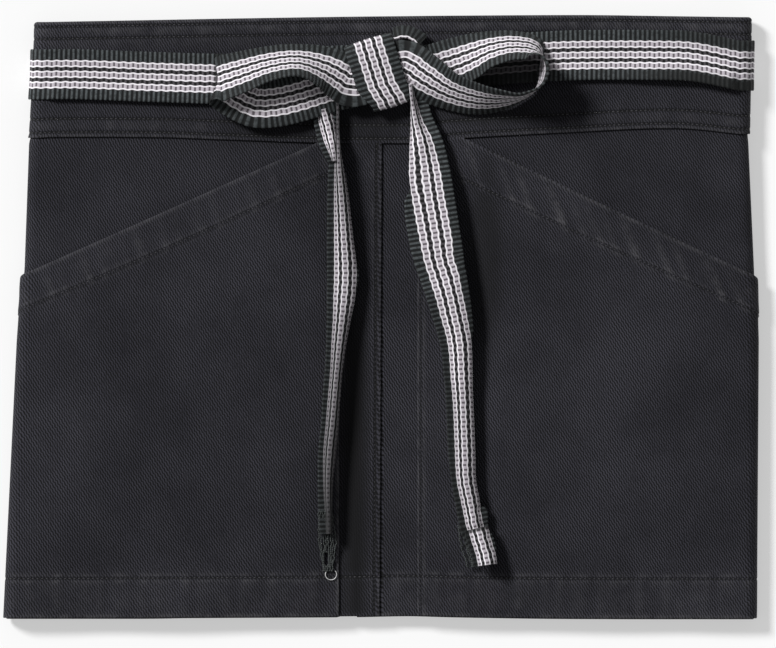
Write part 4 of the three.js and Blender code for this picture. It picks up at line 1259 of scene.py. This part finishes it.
# Tails, from the top down. Each row is read off the photograph, half a millimetre to a unit: the height
# there, five marks across the webbing (outer edges, outer sides of the stripes, middle), how dim the
# left border, the stripes and the right border are, and how far the strip stands above the cloth, in mm.
# The three dims of each row are painted shade, where the webbing turns from the light or lies in shadow
photo = {"centreX": 381, "centreY": 316.25, "unit": 0.5 * mm}
marks = np.array([-12.5, -7.1, 0, 7.1, 12.5]) * mm
tail = {"fullness": 0.6, "foldBack": 4.7 * mm, "layer": 1.5 * mm}
rightTailRows = [
    (84, (409.2, 409.4, 410.2, 413.0, 419.5), (0.5, 0.2, 0), 2.5),
    (95, (410.2, 410.4, 411.3, 415.0, 424.5), (0.5, 0.2, 0), 1.9),
    (103, (411.0, 411.2, 412.4, 417.0, 428.0), (0.5, 0.2, 0), 1.5),
    (121, (410.6, 411.2, 415.5, 422.5, 433.5), (0.5, 0.1, 0), 2.2),
    (141, (409.8, 410.2, 420.5, 432.3, 442.5), (0.5, 0, 0), 4.0),
    (161, (409.0, 409.8, 424.0, 438.0, 448.0), (0.4, 0, 0), 6.2),
    (181, (407.0, 409.8, 426.5, 442.2, 452.0), (0.2, 0, 0.1), 8.0),
    (199, (404.0, 412.0, 429.0, 445.0, 455.0), (0, 0, 0.1), 9.0),
    (219, (405.2, 415.5, 432.5, 448.8, 458.3), (0, 0, 0.15), 9.4),
    (239, (408.6, 419.5, 436.0, 452.3, 461.3), (0.1, 0, 0.2), 9.5),
    (261, (414.0, 424.0, 439.5, 454.7, 465.0), (0.15, 0, 0.3), 9.4),
    (275, (418.8, 428.3, 444.0, 459.3, 467.4), (0.2, 0, 0.4), 9.2),
    (295, (425.8, 434.8, 449.5, 462.8, 470.2), (0.3, 0, 0.5), 8.8),
    (315, (432.0, 440.2, 454.0, 466.8, 472.6), (0.4, 0, 0.6), 8.2),
    (335, (438.0, 446.0, 458.4, 470.0, 474.0), (0.5, 0, 0.6), 7.5),
    (351, (441.4, 448.8, 460.2, 471.0, 472.6), (0.6, 0, 0.6), 7.0),
    (375, (443.8, 450.6, 461.3, 471.6, 472.4), (0.65, 0, 0.6), 6.2),
    (395, (445.6, 452.4, 462.5, 472.0, 472.8), (0.7, 0.17, 0.7), 5.5),
    (419, (446.6, 453.8, 463.5, 473.0, 473.8), (0.7, 0.17, 0.7), 5.1),
    (450, (448.0, 455.0, 464.7, 474.2, 475.0), (0.7, 0.17, 0.7), 4.6),
    (480, (451.2, 456.8, 466.0, 475.0, 475.8), (0.7, 0.17, 0.7), 4.1),
    (500, (454.6, 460.8, 469.8, 478.6, 480.6), (0.7, 0.17, 0.7), 3.7),
    (513, (457.0, 463.6, 472.4, 480.6, 487.6), (0.7, 0.05, 0.5), 3.4),
    (528, (459.5, 466.8, 475.2, 483.8, 489.0), (0.7, 0.1, 0.5), 3.0),
    (540, (463.5, 470.6, 479.8, 488.0, 493.0), (0.7, 0.1, 0.5), 2.8),
]
leftTailRows = [
    (103, (333.0, 337.4, 337.8, 338.2, 338.4), (0.2, 0.85, 0.8), 0.3),
    (130, (333.0, 337.4, 338.0, 338.5, 338.7), (0.2, 0.85, 0.8), 0.1),
    (150, (331.4, 336.6, 338.4, 339.8, 340.0), (0.3, 0.6, 0.7), 0),
    (165, (328.8, 334.8, 339.0, 342.3, 342.7), (0.35, 0.58, 0.6), 0),
    (195, (327.2, 334.2, 341.2, 347.4, 348.2), (0.45, 0.48, 0.5), 0),
    (235, (327.0, 334.2, 343.6, 351.8, 354.0), (0.5, 0.23, 0.5), 0),
    (275, (327.0, 334.2, 345.4, 356.0, 359.8), (0.5, 0.18, 0.4), 0),
    (295, (326.8, 333.6, 344.2, 354.4, 357.8), (0.5, 0.23, 0.5), 0),
    (320, (326.6, 333.0, 341.8, 349.6, 351.0), (0.5, 0.45, 0.6), 0),
    (345, (326.0, 331.6, 339.2, 345.0, 345.8), (0.5, 0.55, 0.6), 0),
    (375, (324.4, 330.2, 336.4, 341.0, 341.6), (0.5, 0.65, 0.6), 0),
    (400, (322.4, 328.0, 334.4, 339.0, 339.6), (0.5, 0.69, 0.6), 0),
    (425, (321.0, 326.0, 332.2, 337.4, 338.0), (0.5, 0.74, 0.6), 0),
    (450, (318.4, 323.8, 329.6, 335.0, 335.6), (0.45, 0.79, 0.6), 0),
    (480, (317.8, 323.6, 328.0, 332.0, 332.6), (0.45, 0.84, 0.6), 0),
    (500, (318.0, 324.6, 328.2, 331.2, 331.8), (0.5, 0.89, 0.6), 0),
    (520, (318.8, 326.0, 329.0, 331.2, 331.8), (0.5, 0.95, 0.6), 0),
    (534, (319.6, 326.6, 329.2, 331.4, 332.0), (0.6, 0.95, 0.7), 0),
]
# The stretch of the left tail behind its twist, and the right tail's end folded over on itself
leftTwistRows = [
    (109, (311.0, 316.5, 323.0, 331.0, 334.5), (0.4, 0.5, 0.6), 0),
    (115, (312.5, 317.5, 324.5, 332.5, 335.2), (0.3, 0.2, 0.5), 0),
    (125, (314.0, 319.5, 327.5, 335.0, 336.5), (0.2, 0, 0.5), 0),
    (140, (318.0, 324.0, 331.0, 336.0, 336.6), (0.2, 0, 0.5), 0),
    (152, (323.0, 329.0, 333.5, 336.4, 337.0), (0.3, 0.1, 0.5), 0),
    (161, (328.0, 332.4, 335.0, 336.6, 337.0), (0.4, 0.5, 0.6), 0),
]
rightEndRows = [
    (528, (464.0, 468.4, 478.4, 487.4, 489.6), (0.95, 0.95, 0.95), 4.5),
    (530.5, (464.0, 468.8, 478.9, 488.0, 490.8), (0.9, 0.7, 0.7), 4.9),
    (533, (464.4, 469.2, 479.4, 488.6, 492.0), (0.8, 0, 0.4), 5.1),
    (541, (466.8, 471.6, 481.8, 491.0, 495.0), (0.8, 0, 0.3), 5.2),
    (552, (470.4, 475.2, 485.0, 494.2, 498.0), (0.8, 0, 0.3), 5.3),
    (560, (472.4, 477.2, 487.0, 495.8, 498.4), (0.8, 0, 0.4), 5.2),
    (565, (473.2, 478.0, 487.6, 496.0, 497.6), (0.8, 0.1, 0.5), 5.0),
]


def clothTop(x, y):  # highest cloth under a place of the front
    n = np.full(np.broadcast(x, y).shape, cloth)
    lap = (x < gap + 1.5 * mm) & (x > -apron["lapWidth"] - (apron["lapSlope"] + 1) * lapRise)
    n = np.where(lap, lapRise + cloth, n)
    for side, shape in pocketShapes.items():
        on = (side * x >= shape["edge"]) & (y <= mouthEdge(side, x, 0))
        n = np.where(on, pocketInner + pocketRoom(side, x, y) + cloth + mouthFacing, n)
    n = np.where(y >= bandEdge(x), bandOuter, n)
    n = np.where(abs(y - beltMiddle(x)) <= webbing["width"] / 2, beltOuter, n)
    return frontHeight(x, y, n)


def spread(values, reach):  # highest value within some steps each way, then softened
    wide = np.pad(values, reach, mode="edge")
    high = np.max([wide[i : i + len(values)] for i in range(2 * reach + 1)], 0)
    wide = np.pad(high, reach, mode="edge")
    return np.mean([wide[i : i + len(values)] for i in range(2 * reach + 1)], 0)


def tailProfile(x):  # places and heights of the marks, so that the webbing keeps most of its width
    want, seen = np.diff(marks), np.diff(x, axis=1)
    tall = tail["fullness"] * np.sqrt(np.maximum(want**2 - seen**2, 0))
    under = ease(2.2 * mm, 0.8 * mm, seen[:, [0, 3]])  # a border hidden from above lies folded beneath
    top = np.maximum(tall[:, 1], tall[:, 2])
    h = [None, top - tall[:, 1], top, top - tall[:, 2], None]
    h[0] = h[1] + 0.3 * tall[:, 0] * (1 - under[:, 0]) - tail["layer"] * under[:, 0]
    h[4] = h[3] - 0.3 * tall[:, 3] * (1 - under[:, 1]) - tail["layer"] * under[:, 1]
    x = x.copy()
    x[:, 0] += under[:, 0] * (tail["foldBack"] + seen[:, 0])
    x[:, 4] -= under[:, 1] * (tail["foldBack"] + seen[:, 3])
    h = np.stack(h, 1)
    return x, h - h.min(1, keepdims=True)


def runningMean(values, reach):
    wide = np.pad(values, ((reach, reach), (0, 0)), mode="edge")
    return np.mean([wide[k : k + len(values)] for k in range(2 * reach + 1)], 0)


def makeTail(name, rows):
    y = (photo["centreY"] - np.array([row[0] for row in rows])) * photo["unit"]
    seen = (np.array([row[1] for row in rows]) - photo["centreX"]) * photo["unit"]
    x, h = tailProfile(seen)
    i, u = evenSteps(np.stack([seen[:, 2], y, y * 0], -1), webbing["step"])
    place = curveAt(np.stack([seen[:, 2], y, y * 0], -1), i)
    along = unit(runningMean(unit(np.gradient(place, axis=0)), 8))
    up = np.array([0, 0, 1.0])
    across = unit(np.cross(up, along))
    across = across * np.where(across[:, :1] < 0, -1, 1)
    level = across[:, :1]  # the marks were read straight across the photograph
    offset = np.stack([readRows(x - seen[:, 2:3], i, k) for k in range(5)], -1) * level
    height = np.stack([readRows(h, i, k) for k in range(5)], -1)
    v = columns * webbing["width"]
    side, rise = smoothBetween(marks, offset, v), smoothBetween(marks, height, v)
    near = [clothTop(place[:, 0] + k, place[:, 1]) for k in np.linspace(side.min(1), side.max(1), 7)]
    lift = readRows([(row[3] * mm,) for row in rows], i, 0)
    base = spread(np.max(near, 0), 5) + lift + gap + webbing["thickness"] / 2
    point = place[:, None] + across[:, None] * side[..., None] + up * (rise + base[:, None])[..., None]
    run, climb = np.gradient(side, v, axis=1), np.gradient(rise, v, axis=1)
    face = unit(up * run[..., None] - across[:, None] * climb[..., None])
    # painted shade on the left border, the stripes and the right border
    paintedShades = [readRows([row[2] for row in rows], i, k)[:, None] for k in range(3)]
    stripes = 1 - ease(6.6 * mm, 7.8 * mm, abs(v))
    dim = paintedShades[1] * stripes + np.where(v < 0, paintedShades[0], paintedShades[2]) * (1 - stripes)
    u, thick = u[:, None], webbing["thickness"]
    piece = webbingSkin(name, point, face, across[:, None], u, v[None, :], thick, dim=dim)
    return piece, float(u[-1, 0])


leftLoop, leftLoopLength = makeLoop("left_loop_webbing", left, leftLoopRows, bow["leftReach"])
rightLoop, rightLoopLength = makeLoop("right_loop_webbing", right, rightLoopRows, bow["rightReach"])
knot, knotLength = makeKnot("knot_webbing")
tuck, tuckLength = makeTuck("knot_tuck_webbing")
leftTail, leftTailLength = makeTail("left_tail_webbing", leftTailRows)
leftTwist, leftTwistLength = makeTail("left_tail_twist", leftTwistRows)
rightTail, rightTailLength = makeTail("right_tail_webbing", rightTailRows)
rightEnd, rightEndLength = makeTail("right_tail_end", rightEndRows)
print("bow made")

# Frayed yarns at the tails' ends and a small loop of white thread
fray = {"pitch": 0.95 * mm, "length": 1.35 * mm, "width": 0.85 * mm, "height": 0.75 * mm}
ringThread = {"pitch": 0.3 * mm, "length": 0.8 * mm, "width": 0.42 * mm, "height": 0.42 * mm}


def onCloth(column, row, lift):  # from a place on the photograph
    x = (np.asarray(column, float) - photo["centreX"]) * photo["unit"]
    y = (photo["centreY"] - np.asarray(row, float)) * photo["unit"]
    return np.stack([x, y, clothTop(x, y) + lift], -1)


def frayedYarns(leftSide, rightSide, rows, count, lift, rise, seed, slit=None):
    random = np.random.default_rng(seed)
    lines = []
    for share in np.linspace(0, 1, count):
        row = np.arange(rows[0], rows[1], 1.5)
        wobble = 0.9 * ripple(row, [5.1, 8.3, 13.7], seed + round(9 * share)) + random.uniform(-0.4, 0.4)
        at = (row - rows[0]) / (rows[1] - rows[0])
        edges = [np.interp(at, [0, 0.5, 1], side) for side in (leftSide, rightSide)]
        column = edges[0] + (edges[1] - edges[0]) * share + wobble
        if slit:  # the yarns part round a small opening
            off = column - slit[0]
            inside = (row > slit[2]) & (row < slit[3]) & (abs(off) < slit[1])
            column = np.where(inside, slit[0] + np.sign(off) * slit[1], column)
        height = lift * (0.6 + 0.6 * random.uniform()) + rise * (1 - at) ** 2
        lines.append(onCloth(column, row, height))
    return lines


leftSides = ((318.5, 318.5, 323.5), (331.5, 336, 332))
leftYarns = frayedYarns(*leftSides, (512, 571), 8, 0.75 * mm, 3.6 * mm, 41, (326.2, 2.6, 550, 566))
leftFray = sewLines("left_tail_frayed_yarns", leftYarns, frayed, fray)
rightYarns = frayedYarns((458, 461, 468), (468, 473, 478), (526, 568), 6, 3.6 * mm, 1.6 * mm, 47)
rightFray = sewLines("right_tail_frayed_yarns", rightYarns, frayed, fray)
turn = np.radians(np.linspace(-215, 35, 60))
ringLine = onCloth(331 + 5.6 * np.cos(turn), 574.5 - 5.4 * np.sin(turn), 0.3 * mm)
whiteRing = sewLines("white_thread_loop", [ringLine], whiteThread, ringThread)
print("frayed ends made")


# Each piece stands for its node and rides on the one body.
def settle(piece, node=None):
    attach(piece, "root")
    if node:
        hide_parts(node)


clothPieces = {
    "left_panel": leftPanel,
    "right_panel": rightPanel,
    "left_pocket": leftPocket,
    "right_pocket": rightPocket,
    "waistband": waistband,
}
webbingPieces = {
    "belt": beltPiece,
    "left_loop": leftLoop,
    "right_loop": rightLoop,
    "knot": knot,
    "knot_tuck": tuck,
    "left_tail": leftTail,
    "right_tail": rightTail,
}
smallPieces = [leftTwist, rightEnd, leftFray, rightFray, whiteRing]
for node, piece in clothPieces.items():
    settle(piece, node)
for piece in clothSeams.values():
    settle(piece)
for node, piece in webbingPieces.items():
    settle(piece, node)
for piece in smallPieces:
    settle(piece)
# Floor, light and camera
studio = {
    "floor": (0.50, 0.50, 0.50, 1),
    "floorGlow": 0.475,  # a light table, so that shadows on it stay pale
    "sun": 3.5,
    "sunAngle": math.radians(14),
    "sunTravel": (20.0, -16.0, -22.5),  # the light comes from the upper left
    "sky": 0.25,
    "cameraHeight": 1.0,
    "viewWidth": 388 * mm,
    "viewCentre": (3.5 * mm, -3.9 * mm),
}


def makeFloor():
    mesh = bpy.data.meshes.new("floor")
    reach = 3.0
    corners = [(-reach, -reach, 0), (reach, -reach, 0), (reach, reach, 0), (-reach, reach, 0)]
    mesh.from_pydata(corners, [], [(0, 1, 2, 3)])
    material, tree, shader = newMaterial("paleFloor", studio["floor"])
    shader.inputs["Base Color"].default_value = studio["floor"]
    shader.inputs["Roughness"].default_value = 0.9
    shader.inputs["Specular IOR Level"].default_value = 0.2
    shader.inputs["Emission Color"].default_value = (1, 1, 1, 1)
    shader.inputs["Emission Strength"].default_value = studio["floorGlow"]
    mesh.materials.append(material)
    addObject("floor", mesh)


def makeLight():
    data = bpy.data.lights.new("windowLight", "SUN")
    data.energy = studio["sun"]
    data.angle = studio["sunAngle"]
    light = bpy.data.objects.new("windowLight", data)
    light.rotation_euler = Vector(studio["sunTravel"]).to_track_quat("-Z", "Y").to_euler()
    bpy.context.scene.collection.objects.link(light)
    world = bpy.data.worlds.new("softRoom")
    world.use_nodes = True
    world.node_tree.nodes["Background"].inputs["Color"].default_value = (1, 1, 1, 1)
    world.node_tree.nodes["Background"].inputs["Strength"].default_value = studio["sky"]
    bpy.context.scene.world = world


def makeCamera():
    data = bpy.data.cameras.new("overhead")
    data.type = "ORTHO"
    data.ortho_scale = studio["viewWidth"]
    camera = bpy.data.objects.new("overhead", data)
    camera.location = (*studio["viewCentre"], studio["cameraHeight"])
    bpy.context.scene.collection.objects.link(camera)
    bpy.context.scene.camera = camera


makeFloor()
makeLight()
makeCamera()
bpy.context.scene.view_settings.view_transform = "Standard"
print("floor, light and camera placed")
